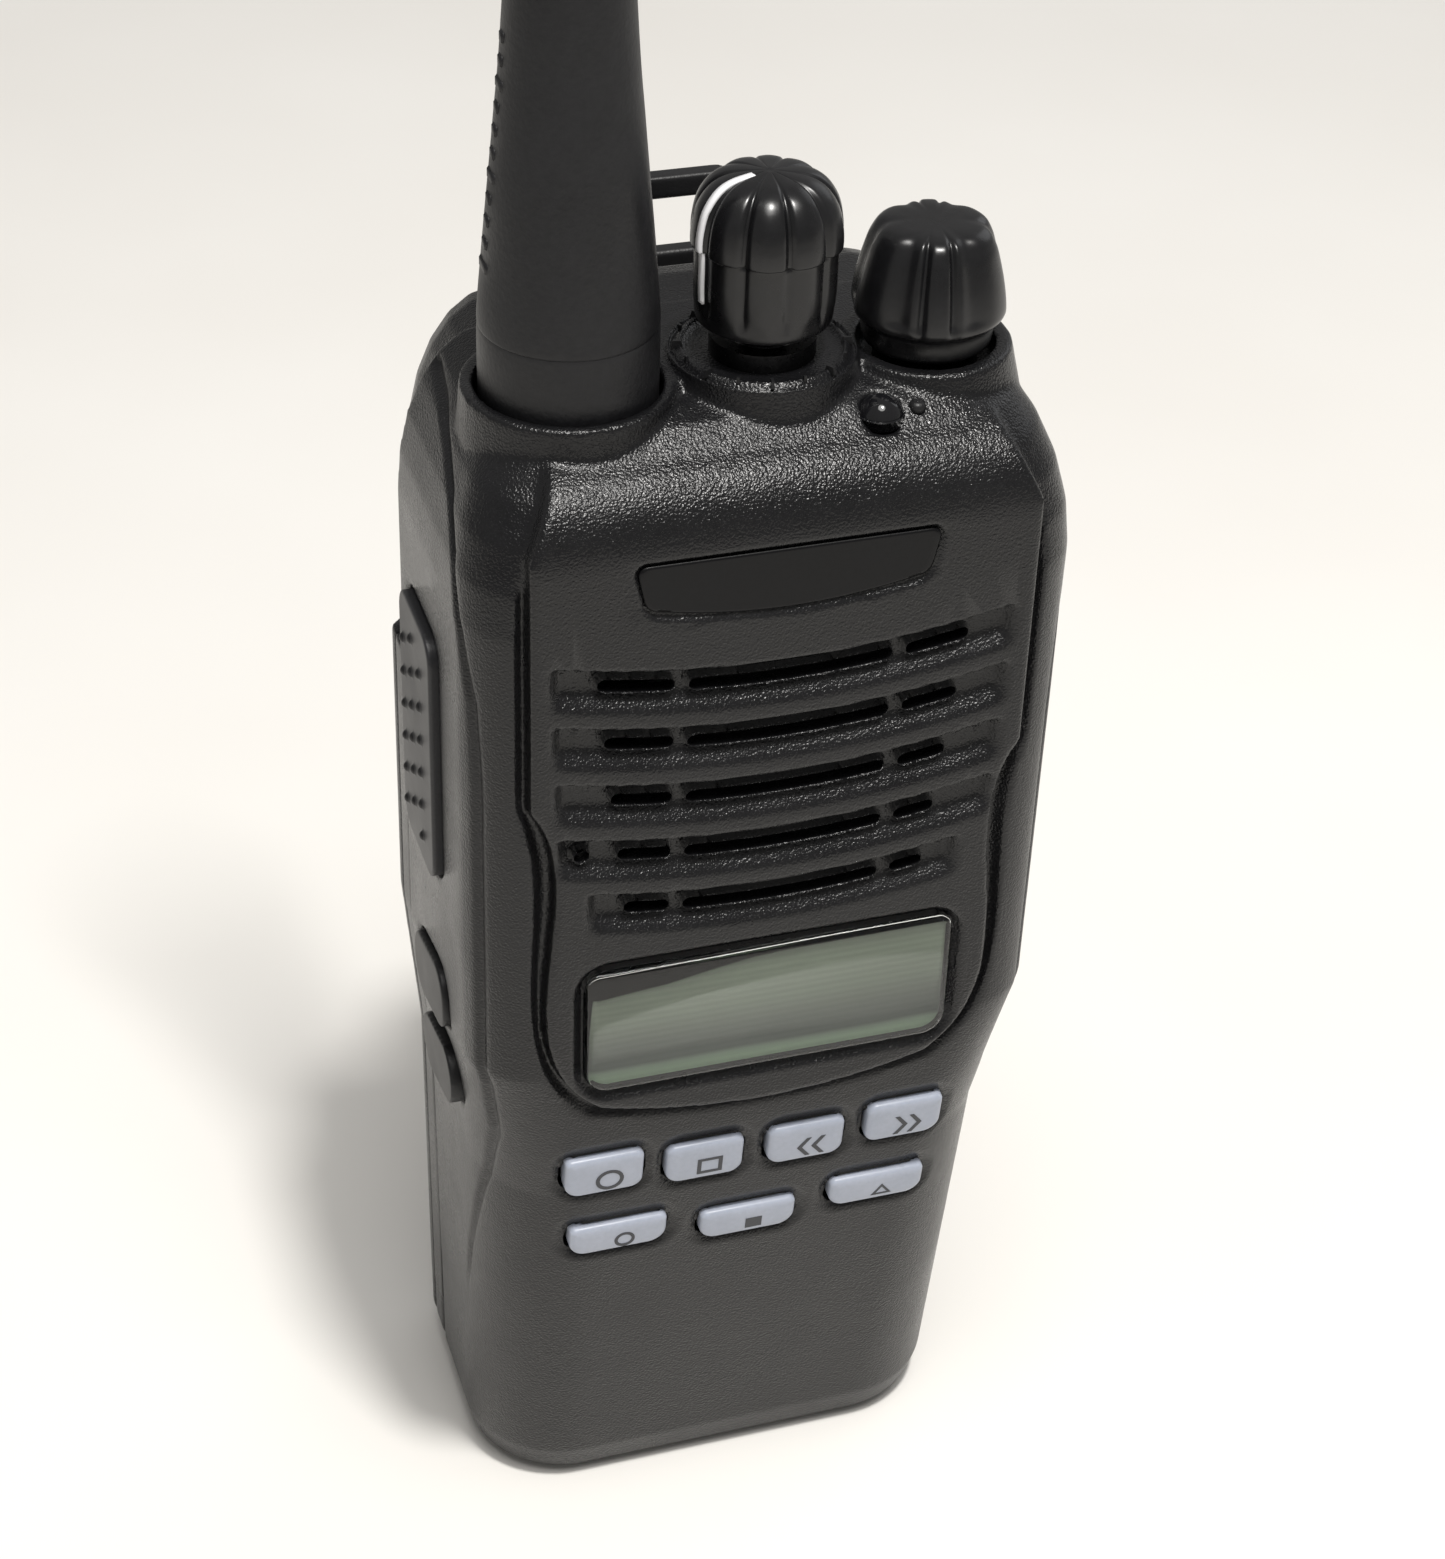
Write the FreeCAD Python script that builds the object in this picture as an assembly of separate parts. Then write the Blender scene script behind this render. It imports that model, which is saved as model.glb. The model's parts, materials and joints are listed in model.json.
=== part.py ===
"""Two way radio: hand-held transceiver with antenna, knobs, keys, battery pack and belt clip.

Millimetres. X to the right, Y to the back, Z up. The origin lies in the flat bottom,
straight below the line through the axes of the antenna and the two knobs.
Each function below makes one piece, or one family of pieces, and returns solids.
"""
import FreeCAD, Part
import math
import os

V = FreeCAD.Vector
os.makedirs("parts", exist_ok=True)

# ---- driving dimensions: case ------------------------------------------------------
HALF_WIDTH = 27.0          # half the width of the upper body
LOWER_HALF_WIDTH = 25.0    # half the width below the waist
HEIGHT = 122.0             # top of the case sides, where the deck starts
RIM_FRONT = -14.0          # front of the rim beside the raised front panel
PANEL_FRONT = -14.6        # front of the raised panel with the grille and display
BODY_BACK = 13.0           # back of the case where the battery sits
BLOCK_BACK = 24.0          # back of the thicker top of the case
BLOCK_TALL = 30.0          # height of that thicker top
BLOCK_BOTTOM = HEIGHT - BLOCK_TALL
WALL = 1.8                 # wall of the case
DECK_RISE = 2.3            # how far the flat of the deck stands above the case sides
DECK_TOP = HEIGHT + DECK_RISE
SHOULDER_IN = 8.0          # how far the rounded shoulders draw in at the deck
SHOULDER_TALL = 15.0       # height over which they do so
BROW_IN = 9.0              # the same at the front
SHOULDER_STEPS = 6
BLOCK_NARROW = 2.0         # the thicker top is this much narrower at either side
BLOCK_LOWER = 0.5          # and this much lower
WAIST_Z = 52.3             # ridge between the display panel and the key panel
PANEL_TILT = 7.84          # degrees the key panel leans back towards the bottom
RIDGE_FRONT = -13.2        # front of that ridge

# ---- driving dimensions: raised panel, grille, display, keys -----------------------
ISLAND_HALF = 22.1
ISLAND_LOW_HALF = 20.2
ISLAND_BOTTOM = 55.6
ISLAND_TOP = HEIGHT - 7.0
ISLAND_TOP_RADIUS = 7.6
GROOVE_WIDTH = 0.7
POCKET_WIDTH = 3.2
POCKET_FLOOR = -12.7
SLOT_COUNT = 5
SLOT_TOP_Z = 102.6
SLOT_PITCH = 5.8
SLOT_HEIGHT = 1.3
SLOT_BEND = 89.0           # radius of the smile that each slot follows
SLOT_HALF_TOP = 16.4
SLOT_HALF_STEP = 0.65      # each lower slot is this much shorter at either end
SLOT_POST = 1.1
SLOT_POST_X = 9.6
MIC_X, MIC_Z, MIC_HOLE = -17.6, 86.7, 0.75
LENS_WIDTH, LENS_HEIGHT, LENS_Z = 34.4, 13.6, 66.9
LENS_RADIUS, LENS_SEAT, LENS_PROUD = 2.2, 1.2, 0.3
WINDOW_BORDER = 1.8
PLATE_WIDTH, PLATE_HEIGHT, PLATE_DEPTH = 27.0, 5.6, 0.5
PLATE_Z = ISLAND_TOP - 2.4
KEY_GAP = 0.3
KEY_PROUD = 0.5
KEY_TRAVEL = 0.5
KEY_FLANGE = 0.7
# name, x, height of the centre, width, height of the cap
KEYS = [("key_upper_1", -14.8, 48.0, 7.6, 5.0), ("key_upper_2", -5.0, 47.4, 7.6, 5.0),
        ("key_upper_3", 5.0, 47.4, 7.6, 5.0), ("key_upper_4", 14.8, 48.0, 7.6, 5.0),
        ("key_lower_1", -13.0, 38.6, 9.6, 3.8), ("key_lower_2", 0.0, 37.4, 9.6, 3.8),
        ("key_lower_3", 13.0, 38.6, 9.6, 3.8)]
KEY_RADIUS = 1.5

# ---- driving dimensions: sides -----------------------------------------------------
PTT_Y0, PTT_Y1, PTT_Z0, PTT_Z1 = -1.4, 10.0, 76.0, 101.6
PTT_PROUD, PTT_THICK, PTT_TRAVEL, SIDE_GAP = 0.8, 2.2, 1.2, 0.3
PTT_DOT_RADIUS, PTT_DOT_PITCH, PTT_DOTS = 0.45, 3.5, 6
SIDE_KEYS = [("side_key_1", 3.4, 61.6, 12.0, 6.6), ("side_key_2", 2.0, 53.0, 12.0, 6.0)]
SIDE_KEY_TRAVEL, SIDE_KEY_LEAN = 0.8, -12.0
COVER_Y0, COVER_Y1, COVER_Z0, COVER_Z1, COVER_THICK = -6.0, 8.0, 84.0, 111.0, 1.3

# ---- driving dimensions: top -------------------------------------------------------
ANTENNA_X, CHANNEL_X, VOLUME_X = -15.1, 1.6, 16.2
BOSS_RADIUS, BOSS_TOP = 9.0, HEIGHT + 3.2
ANTENNA_RADIUS, ANTENNA_SEAM_Z, ANTENNA_LENGTH = 7.5, HEIGHT + 8.8, 144.2
ANTENNA_TIP_Z = ANTENNA_SEAM_Z + ANTENNA_LENGTH
COIL_RADIUS, TIP_RADIUS, COIL_SHORT = 2.0, 3.2, 14.0
SEAL_Z0, SEAL_Z1 = HEIGHT - 0.55, HEIGHT + 0.35
SOCKET_RADIUS, SOCKET_DEPTH, SOCKET_FLOOR = 5.5, 8.8, 2.0
ANTENNA_GAP = 0.35         # between the antenna's base and the boss around it
STUD_RADIUS, RUN_GAP = 3.0, 0.06
CHANNEL_BEZEL, CHANNEL_BEZEL_FOOT, CHANNEL_BEZEL_TOP = 7.8, 8.7, HEIGHT + 5.0
VOLUME_BEZEL, VOLUME_BEZEL_FOOT, VOLUME_BEZEL_TOP = 7.3, 8.3, HEIGHT + 3.2
CHANNEL_KNOB_RADIUS, CHANNEL_KNOB_TALL = 6.45, 13.0
CHANNEL_KNOB_Z0 = CHANNEL_BEZEL_TOP + 1.9
CHANNEL_KNOB_Z1 = CHANNEL_KNOB_Z0 + CHANNEL_KNOB_TALL
VOLUME_KNOB_RADIUS, VOLUME_KNOB_TALL = 6.8, 10.6
VOLUME_KNOB_Z0 = VOLUME_BEZEL_TOP + 0.1
VOLUME_KNOB_Z1 = VOLUME_KNOB_Z0 + VOLUME_KNOB_TALL
ENCODER_TALL, ENCODER_HALF, POT_TALL, POT_HALF = 7.0, 4.6, 7.5, 4.0
ENCODER_TOP, POT_TOP = HEIGHT - 3.0, HEIGHT - 7.5
CONTROL_HALF_DEPTH, SHAFT_LIFT, KNOB_ROOF = 4.6, 1.2, 3.0
SHAFT_RADIUS, BUSH_RADIUS, NUT_RADIUS, NUT_HEIGHT = 2.0, 3.1, 4.5, 1.6
LED_X, LED_Y, LED_RADIUS = 9.4, -8.0, 1.6

# ---- driving dimensions: inside, battery and clip ----------------------------------
BOARD_FRONT, BOARD_THICK = 2.6, 1.2
BOARD_Z0, BOARD_TOP_GAP = 9.0, 15.0
CAVITY_FLOOR, CAVITY_ROOF = 2.2, 2.4
SPEAKER_X, SPEAKER_Z, SPEAKER_RADIUS = 1.6, SLOT_TOP_Z - 11.2, 15.0
SCREW_IN, SCREW_TOP_IN = 7.0, 6.0
SCREW_PLACES = [(side * (HALF_WIDTH - SCREW_IN), z)
                for z in (8.0, BLOCK_BOTTOM - SCREW_TOP_IN) for side in (-1, 1)]
BATTERY_GAP = 0.3
BATTERY_INSET = 1.0        # battery back, forward of the case top behind it
BATTERY_BACK = BLOCK_BACK - BATTERY_INSET
BATTERY_BOTTOM = 0.4
BATTERY_SPLIT = 17.0
BATTERY_WALL = 1.5
BATTERY_TRAVEL = 12.0
HOOK_X, HOOK_ZS, HOOK_LENGTH = 16.0, (30.0, 70.0), 5.0
HOOK_NECK, HOOK_HEAD = 4.0, 7.2
CLIP_HALF, CLIP_BASE_THICK, CLIP_BASE_TALL = 9.5, 1.6, 18.5
CLIP_BASE_Z0 = BLOCK_BOTTOM + 8.5
CLIP_BASE_Z1 = CLIP_BASE_Z0 + CLIP_BASE_TALL
CLIP_SCREW_X, CLIP_SCREW_RISE, CLIP_EAR, CLIP_EAR_GAP = 6.0, 3.2, 2.6, 0.4
CLIP_PIN_OUT, CLIP_PIN_RADIUS = 5.4, 1.2
CLIP_PIN_Y, CLIP_PIN_Z = BLOCK_BACK + CLIP_PIN_OUT, CLIP_BASE_Z0 + 11.5
LEAF_OFFSET, LEAF_THICK, LEAF_BELOW, LEAF_ABOVE = 0.4, 1.8, 60.0, 15.6
CLIP_LEAF_Y0 = CLIP_PIN_Y + LEAF_OFFSET
CLIP_LEAF_Y1 = CLIP_LEAF_Y0 + LEAF_THICK
CLIP_LEAF_Z0, CLIP_LEAF_Z1 = CLIP_PIN_Z - LEAF_BELOW, CLIP_PIN_Z + LEAF_ABOVE
LATCH_HALF, LATCH_PROUD, LATCH_TALL, LATCH_GAP = 7.0, 0.6, 4.8, 0.3
LATCH_Z0 = BLOCK_BOTTOM + 2.4
LATCH_Z1 = LATCH_Z0 + LATCH_TALL

# stations of the case, bottom to top: height, half width, front, radius of the front corners
STATIONS = [(0.0, LOWER_HALF_WIDTH - 2.6, -4.2, 8.6),
            (1.4, LOWER_HALF_WIDTH - 1.0, -5.6, 9.4),
            (4.5, LOWER_HALF_WIDTH - 0.2, RIDGE_FRONT + (WAIST_Z - 4.5) * 0.1377, 10.0),
            (WAIST_Z - 7.3, LOWER_HALF_WIDTH + 0.3, RIDGE_FRONT + 7.3 * 0.1377, 10.0),
            (WAIST_Z, HALF_WIDTH - 1.0, RIDGE_FRONT, 9.0),
            (WAIST_Z + 9.7, HALF_WIDTH, RIM_FRONT, 6.5)]
for step in range(SHOULDER_STEPS + 1):
    turn = math.radians(90.0 * step / SHOULDER_STEPS)
    STATIONS.append((DECK_TOP - SHOULDER_TALL * (1 - math.sin(turn)),
                     HALF_WIDTH - SHOULDER_IN * (1 - math.cos(turn)),
                     RIM_FRONT + BROW_IN * (1 - math.cos(turn)), 6.0 + 1.5 * math.sin(turn)))


# ---- helpers -----------------------------------------------------------------------
def box(x0, y0, z0, x1, y1, z1):
    return Part.makeBox(x1 - x0, y1 - y0, z1 - z0, V(x0, y0, z0))


def cyl_z(x, y, z0, z1, r):
    return Part.makeCylinder(r, z1 - z0, V(x, y, z0), V(0, 0, 1))


def cyl_y(x, z, y0, y1, r):
    return Part.makeCylinder(r, y1 - y0, V(x, y0, z), V(0, 1, 0))


def cyl_x(y, z, x0, x1, r):
    return Part.makeCylinder(r, x1 - x0, V(x0, y, z), V(1, 0, 0))


def cone_z(x, y, z0, z1, r0, r1):
    return Part.makeCone(r0, r1, z1 - z0, V(x, y, z0), V(0, 0, 1))


def fuse(first, *others):
    out = first
    for other in others:
        out = out.fuse(other)
    return out.removeSplitter()


def one_solid(shape):
    """The largest solid of a shape, for cuts that leave slivers."""
    return max(shape.Solids, key=lambda s: s.Volume)


def rounded_face(cx, cz, width, height, radius, y):
    """Rounded rectangle in the XZ plane at depth y."""
    x0, x1 = cx - width / 2, cx + width / 2
    z0, z1 = cz - height / 2, cz + height / 2
    r = min(radius, width / 2 - 0.01, height / 2 - 0.01)
    k = r * (1 - math.sqrt(0.5))
    corners = [(x0 + r, z0, x1 - r, z0, x1 - k, z0 + k, x1, z0 + r),
               (x1, z0 + r, x1, z1 - r, x1 - k, z1 - k, x1 - r, z1),
               (x1 - r, z1, x0 + r, z1, x0 + k, z1 - k, x0, z1 - r),
               (x0, z1 - r, x0, z0 + r, x0 + k, z0 + k, x0 + r, z0)]
    edges = []
    for ax, az, bx, bz, mx, mz, ex, ez in corners:
        a, b, m, e = V(ax, y, az), V(bx, y, bz), V(mx, y, mz), V(ex, y, ez)
        edges.append(Part.LineSegment(a, b).toShape())
        edges.append(Part.Arc(b, m, e).toShape())
    return Part.Face(Part.Wire(edges))


def plate_y(cx, cz, width, height, radius, y0, y1):
    return rounded_face(cx, cz, width, height, radius, y0).extrude(V(0, y1 - y0, 0))


def plate_x(cy, cz, width, height, radius, x0, x1):
    """Rounded rectangle in the YZ plane, extruded along X."""
    flat = plate_y(cy, cz, width, height, radius, -x1, -x0)
    flat.rotate(V(0, 0, 0), V(0, 0, 1), 90)
    return flat


def prism_x(points, x0, x1):
    """Polygon of (y, z) points extruded along X."""
    wire = Part.makePolygon([V(x0, y, z) for y, z in points + points[:1]])
    return Part.Face(wire).extrude(V(x1 - x0, 0, 0))


def revolve_z(x, profile):
    """Polygon of (radius, z) points turned round the vertical through (x, 0)."""
    wire = Part.makePolygon([V(x + r, 0, z) for r, z in profile + profile[:1]])
    return Part.Face(wire).revolve(V(x, 0, 0), V(0, 0, 1), 360)


def station_wire(z, half, front, back, radius):
    """Plan outline: square at the back, rounded at the two front corners."""
    k = radius * (1 - math.sqrt(0.5))
    p = [V(-half, back, z), V(-half, front + radius, z), V(-half + radius, front, z),
         V(half - radius, front, z), V(half, front + radius, z), V(half, back, z)]
    left_mid = V(-half + k, front + k, z)
    right_mid = V(half - k, front + k, z)
    return Part.Wire([Part.LineSegment(p[0], p[1]).toShape(),
                      Part.Arc(p[1], left_mid, p[2]).toShape(),
                      Part.LineSegment(p[2], p[3]).toShape(),
                      Part.Arc(p[3], right_mid, p[4]).toShape(),
                      Part.LineSegment(p[4], p[5]).toShape(),
                      Part.LineSegment(p[5], p[0]).toShape()])


def body_loft(inset, back, z_low, z_high):
    """Solid through the stations, moved in by inset and kept between two heights."""
    wires = []
    for z, half, front, radius in STATIONS:
        z_here = min(max(z, z_low), z_high)
        if wires and z_here <= wires[-1][0] + 0.01:
            continue
        wires.append((z_here, station_wire(z_here, half - inset, front + inset, back,
                                           radius - inset * 0.7)))
    return Part.makeLoft([w for _, w in wires], True, True)


def on_panel(shape):
    """Turns a piece drawn facing -Y onto the leaning key panel."""
    out = shape.copy()
    out.translate(V(0, RIDGE_FRONT, WAIST_Z))
    out.rotate(V(0, RIDGE_FRONT, WAIST_Z), V(1, 0, 0), PANEL_TILT)
    return out


def key_plate(key, grow, w_out, w_in):
    """Rounded plate on the key panel; w is the distance out of (+) or into (-) the panel."""
    _, x, z, width, height = key
    along = (z - WAIST_Z) / math.cos(math.radians(PANEL_TILT))
    plate = plate_y(x, along, width + 2 * grow, height + 2 * grow, KEY_RADIUS + grow,
                    -w_out, -w_in)
    return on_panel(plate)


def island_outline(grow, drop, y):
    """Outline of the raised panel: straight tapering sides and a shallow curved bottom."""
    top = ISLAND_TOP + 20
    bottom = ISLAND_BOTTOM - drop
    low = ISLAND_LOW_HALF + grow
    p = [V(-ISLAND_HALF - grow, y, top), V(-ISLAND_HALF - grow, y, 92.0),
         V(-low - 0.6, y, 70.0), V(-low + 0.5, y, 63.0), V(-low + 4.6, y, bottom + 2.2),
         V(0, y, bottom)]
    edges = [Part.LineSegment(p[0], p[1]).toShape()]
    side = Part.BSplineCurve()
    side.interpolate(Points=[p[1], p[2], p[3], p[4]])
    edges.append(side.toShape())
    mirror = [V(-q.x, q.y, q.z) for q in p]
    edges.append(Part.Arc(p[4], p[5], mirror[4]).toShape())
    other = Part.BSplineCurve()
    other.interpolate(Points=[mirror[4], mirror[3], mirror[2], mirror[1]])
    edges.append(other.toShape())
    edges.append(Part.LineSegment(mirror[1], mirror[0]).toShape())
    edges.append(Part.LineSegment(mirror[0], p[0]).toShape())
    return Part.Wire(edges)


# ---- the case ----------------------------------------------------------------------
def deck_z(y):
    """Height of the deck, which curves down over the brow at the front."""
    run = min((y - RIM_FRONT) / BROW_IN, 1.0)
    return DECK_TOP - SHOULDER_TALL * (1 - math.sqrt(1 - (1 - run) ** 2))


def back_profile(inset, y):
    """Outline of the thicker top seen from behind, with the same rounded shoulders."""
    half = HALF_WIDTH - BLOCK_NARROW - inset
    draw_in, top = SHOULDER_IN, DECK_TOP - BLOCK_LOWER - inset
    right = [(half, BLOCK_BOTTOM + inset)]
    for step in range(SHOULDER_STEPS + 1):
        turn = math.radians(90.0 * step / SHOULDER_STEPS)
        right.append((half - draw_in * (1 - math.cos(turn)),
                      top - SHOULDER_TALL * (1 - math.sin(turn))))
    points = right + [(-x, z) for x, z in reversed(right)]
    return Part.makePolygon([V(x, y, z) for x, z in points + points[:1]])


def back_block():
    """The thicker top of the case, behind the battery line."""
    rows = [back_profile(0, BODY_BACK - 4), back_profile(0.4, BLOCK_BACK - 4.5),
            back_profile(1.0, BLOCK_BACK - 1.8), back_profile(2.4, BLOCK_BACK)]
    return Part.makeLoft(rows, True, True)


def island():
    top = ISLAND_TOP
    r = ISLAND_TOP_RADIUS
    y0 = PANEL_FRONT
    flat = Part.Face(island_outline(0, 0, y0 - 1)).extrude(V(0, 12, 0))
    mid = V(0, y0 + r * 0.293, top + r * 0.707)
    a, b = V(0, y0, top), V(0, y0 + r, top + r)
    edges = [Part.LineSegment(V(0, y0, 40), a).toShape(), Part.Arc(a, mid, b).toShape(),
             Part.LineSegment(b, V(0, y0 + r, 40)).toShape(),
             Part.LineSegment(V(0, y0 + r, 40), V(0, y0, 40)).toShape()]
    side = Part.Face(Part.Wire(edges)).extrude(V(60, 0, 0))
    side.translate(V(-30, 0, 0))
    right = [(30, 30), (30, HEIGHT - 18), (ISLAND_HALF + 0.3, HEIGHT - 6), (ISLAND_HALF - 3.6, HEIGHT + 2)]
    clip = right + [(-x, z) for x, z in reversed(right)]
    shoulder = Part.makeLoft([Part.makePolygon([V(x, y, z) for x, z in clip + clip[:1]])
                              for y in (y0 - 2, y0 + 14)], True, True)
    return flat.common(side).common(shoulder)


def island_pocket():
    """Groove round the raised panel, widening to a chamfer under it."""
    outer = island_outline(GROOVE_WIDTH + 0.9, POCKET_WIDTH, PANEL_FRONT - 0.5)
    inner = island_outline(GROOVE_WIDTH, GROOVE_WIDTH, POCKET_FLOOR)
    return Part.makeLoft([outer, inner], True, True)


def slot_ring(z):
    centre = z + SLOT_BEND
    outer = cyl_y(0, centre, PANEL_FRONT - 1, RIM_FRONT + WALL + 1, SLOT_BEND + SLOT_HEIGHT / 2)
    inner = cyl_y(0, centre, PANEL_FRONT - 2, RIM_FRONT + WALL + 2, SLOT_BEND - SLOT_HEIGHT / 2)
    return outer.cut(inner)


def grille_cuts():
    cuts = []
    for i in range(SLOT_COUNT):
        z = SLOT_TOP_Z - i * SLOT_PITCH
        half = SLOT_HALF_TOP - i * SLOT_HALF_STEP
        ring = slot_ring(z)
        spans = [(-half, -SLOT_POST_X), (-SLOT_POST_X + SLOT_POST, SLOT_POST_X),
                 (SLOT_POST_X + SLOT_POST, half)]
        for x0, x1 in spans:
            cuts.append(ring.common(box(x0, PANEL_FRONT - 3, z - 3, x1, RIM_FRONT + WALL + 3, z + 5)))
    return cuts


def front_case():
    back = BODY_BACK
    outer = body_loft(0, back, 0, DECK_TOP)
    outer = outer.cut(island_pocket())
    outer = fuse(outer, island(), back_block())
    # flat pad for the connector cover on the right
    outer = fuse(outer, box(HALF_WIDTH - 4, COVER_Y0 - 0.4, COVER_Z0 - 0.4,
                            HALF_WIDTH, COVER_Y1 + 0.4, COVER_Z1 + 0.4))
    # bosses of the antenna and the two knobs
    deck = HEIGHT - 1
    outer = fuse(outer, cone_z(ANTENNA_X, 0, deck, BOSS_TOP, BOSS_RADIUS + 0.3, BOSS_RADIUS),
                 cone_z(CHANNEL_X, 0, deck, CHANNEL_BEZEL_TOP, CHANNEL_BEZEL_FOOT, CHANNEL_BEZEL),
                 cone_z(VOLUME_X, 0, deck, VOLUME_BEZEL_TOP, VOLUME_BEZEL_FOOT, VOLUME_BEZEL))
    cavity = body_loft(WALL, back + 0.01, CAVITY_FLOOR, HEIGHT - CAVITY_ROOF)
    room_half = HALF_WIDTH - WALL - 2.6
    head_room = box(-room_half, back - 2, BLOCK_BOTTOM + WALL, room_half, BLOCK_BACK - WALL,
                    HEIGHT - 8)
    outer = outer.cut(cavity).cut(head_room)
    # knob and antenna seats
    outer = outer.cut(cyl_z(ANTENNA_X, 0, HEIGHT - 0.6, BOSS_TOP + 1,
                            ANTENNA_RADIUS + ANTENNA_GAP))
    outer = outer.cut(cyl_z(ANTENNA_X, 0, HEIGHT - 20, BOSS_TOP, SOCKET_RADIUS))
    outer = outer.cut(cyl_z(CHANNEL_X, 0, CHANNEL_BEZEL_TOP - 1.2, CHANNEL_BEZEL_TOP + 9,
                            CHANNEL_KNOB_RADIUS + 0.4))
    outer = outer.cut(cyl_z(CHANNEL_X, 0, HEIGHT - 17, HEIGHT + 18, BUSH_RADIUS))
    outer = outer.cut(cyl_z(VOLUME_X, 0, VOLUME_BEZEL_TOP - 2.2, VOLUME_BEZEL_TOP + 9,
                            NUT_RADIUS + 1.4))
    outer = outer.cut(cyl_z(VOLUME_X, 0, HEIGHT - 17, HEIGHT + 18, BUSH_RADIUS))
    outer = outer.cut(cyl_z(LED_X, LED_Y, HEIGHT - 17, HEIGHT + 18, LED_RADIUS + 0.1))
    # grille, microphone, display window and lens seat, name plate seat
    for cut in grille_cuts():
        outer = outer.cut(cut)
    outer = outer.cut(cyl_y(MIC_X, MIC_Z, PANEL_FRONT - 1, RIM_FRONT + WALL + 1, MIC_HOLE))
    outer = outer.cut(plate_y(0, LENS_Z, LENS_WIDTH + 0.2, LENS_HEIGHT + 0.2, LENS_RADIUS + 0.1,
                              PANEL_FRONT - 1, PANEL_FRONT + LENS_SEAT))
    outer = outer.cut(plate_y(0, LENS_Z, LENS_WIDTH - 2 * WINDOW_BORDER,
                              LENS_HEIGHT - 2 * WINDOW_BORDER, 1.0,
                              PANEL_FRONT - 1, RIM_FRONT + WALL + 1))
    outer = outer.cut(plate_y(0, PLATE_Z, PLATE_WIDTH, PLATE_HEIGHT, 1.6,
                              PANEL_FRONT - 1, PANEL_FRONT + PLATE_DEPTH))
    for key in KEYS:
        outer = outer.cut(key_plate(key, KEY_GAP, 3.0, -WALL - 1.5))
        outer = outer.cut(key_plate(key, KEY_FLANGE + KEY_GAP, -WALL, -WALL - 3.0))
    # flat seats inside for the display seal and the speaker
    outer = outer.cut(plate_y(0, LENS_Z, LENS_WIDTH - 0.8, LENS_HEIGHT - 0.8, 1.0,
                              RIM_FRONT + WALL, RIM_FRONT + WALL + 4))
    outer = outer.cut(cyl_y(SPEAKER_X, SPEAKER_Z, RIM_FRONT + WALL, RIM_FRONT + WALL + 3,
                            SPEAKER_RADIUS + 0.2))
    # side openings
    outer = outer.cut(plate_x((PTT_Y0 + PTT_Y1) / 2, (PTT_Z0 + PTT_Z1) / 2,
                              PTT_Y1 - PTT_Y0 + 2 * SIDE_GAP, PTT_Z1 - PTT_Z0 + 2 * SIDE_GAP,
                              2.4 + SIDE_GAP, -HALF_WIDTH - 2, -HALF_WIDTH + WALL + 1))
    for key in SIDE_KEYS:
        outer = outer.cut(side_key_plate(key, SIDE_GAP, -HALF_WIDTH - 3, -HALF_WIDTH + WALL + 2))
    # latch pocket and screw holes of the clip
    outer = outer.cut(box(-LATCH_HALF - LATCH_GAP, BLOCK_BACK - WALL - 0.1, LATCH_Z0 - LATCH_GAP,
                          LATCH_HALF + LATCH_GAP, BLOCK_BACK + 1, LATCH_Z1 + LATCH_GAP))
    for x in (-CLIP_SCREW_X, CLIP_SCREW_X):
        outer = outer.cut(cyl_y(x, CLIP_BASE_Z0 + CLIP_SCREW_RISE, BLOCK_BACK - WALL - 1, BLOCK_BACK + 1, 1.1))
    # screw hole and contact window of the accessory port
    mid_y = (COVER_Y0 + COVER_Y1) / 2
    outer = outer.cut(cyl_x(mid_y, COVER_Z1 - 5, HALF_WIDTH - 5, HALF_WIDTH + 1, 1.1))
    outer = outer.cut(plate_x(mid_y, COVER_Z0 + 9, 8.6, 13.0, 1.0, HALF_WIDTH - 5, HALF_WIDTH + 1))
    return one_solid(outer)


def chassis_slots():
    """Keyhole slots: the hook's neck runs up and down, its head enters at the bottom."""
    cuts = []
    for x in (-HOOK_X, HOOK_X):
        for z in HOOK_ZS:
            low = z - BATTERY_TRAVEL - 0.5
            cuts.append(box(x - HOOK_NECK / 2 - 0.3, 8, low, x + HOOK_NECK / 2 + 0.3, 14,
                            z + HOOK_LENGTH + 0.3))
            cuts.append(box(x - HOOK_HEAD / 2 - 0.3, 8, low, x + HOOK_HEAD / 2 + 0.3, 14,
                            low + HOOK_LENGTH + 0.8))
    return cuts


def rear_chassis():
    plate = body_loft(WALL, BODY_BACK, CAVITY_FLOOR, HEIGHT - CAVITY_ROOF)
    plate = plate.common(box(-40, BODY_BACK - 1.8, 2.2, 40, BODY_BACK, BLOCK_BOTTOM - 0.2))
    for cut in chassis_slots():
        plate = plate.cut(cut)
    plate = plate.cut(box(-8.2, 8, 13.8, 8.2, 14, 19.2))
    for x, z in SCREW_PLACES:
        plate = plate.cut(cyl_y(x, z, 8, 14, 1.15))
    return one_solid(plate)


def chassis_screws():
    screws = []
    for x, z in SCREW_PLACES:
        shank = cyl_y(x, z, BODY_BACK - 5.0, BODY_BACK - 0.9, 1.1)
        head = cyl_y(x, z, BODY_BACK - 0.9, BODY_BACK - 0.1, 1.15)
        screws.append(fuse(shank, head))
    return Part.makeCompound(screws)


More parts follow.
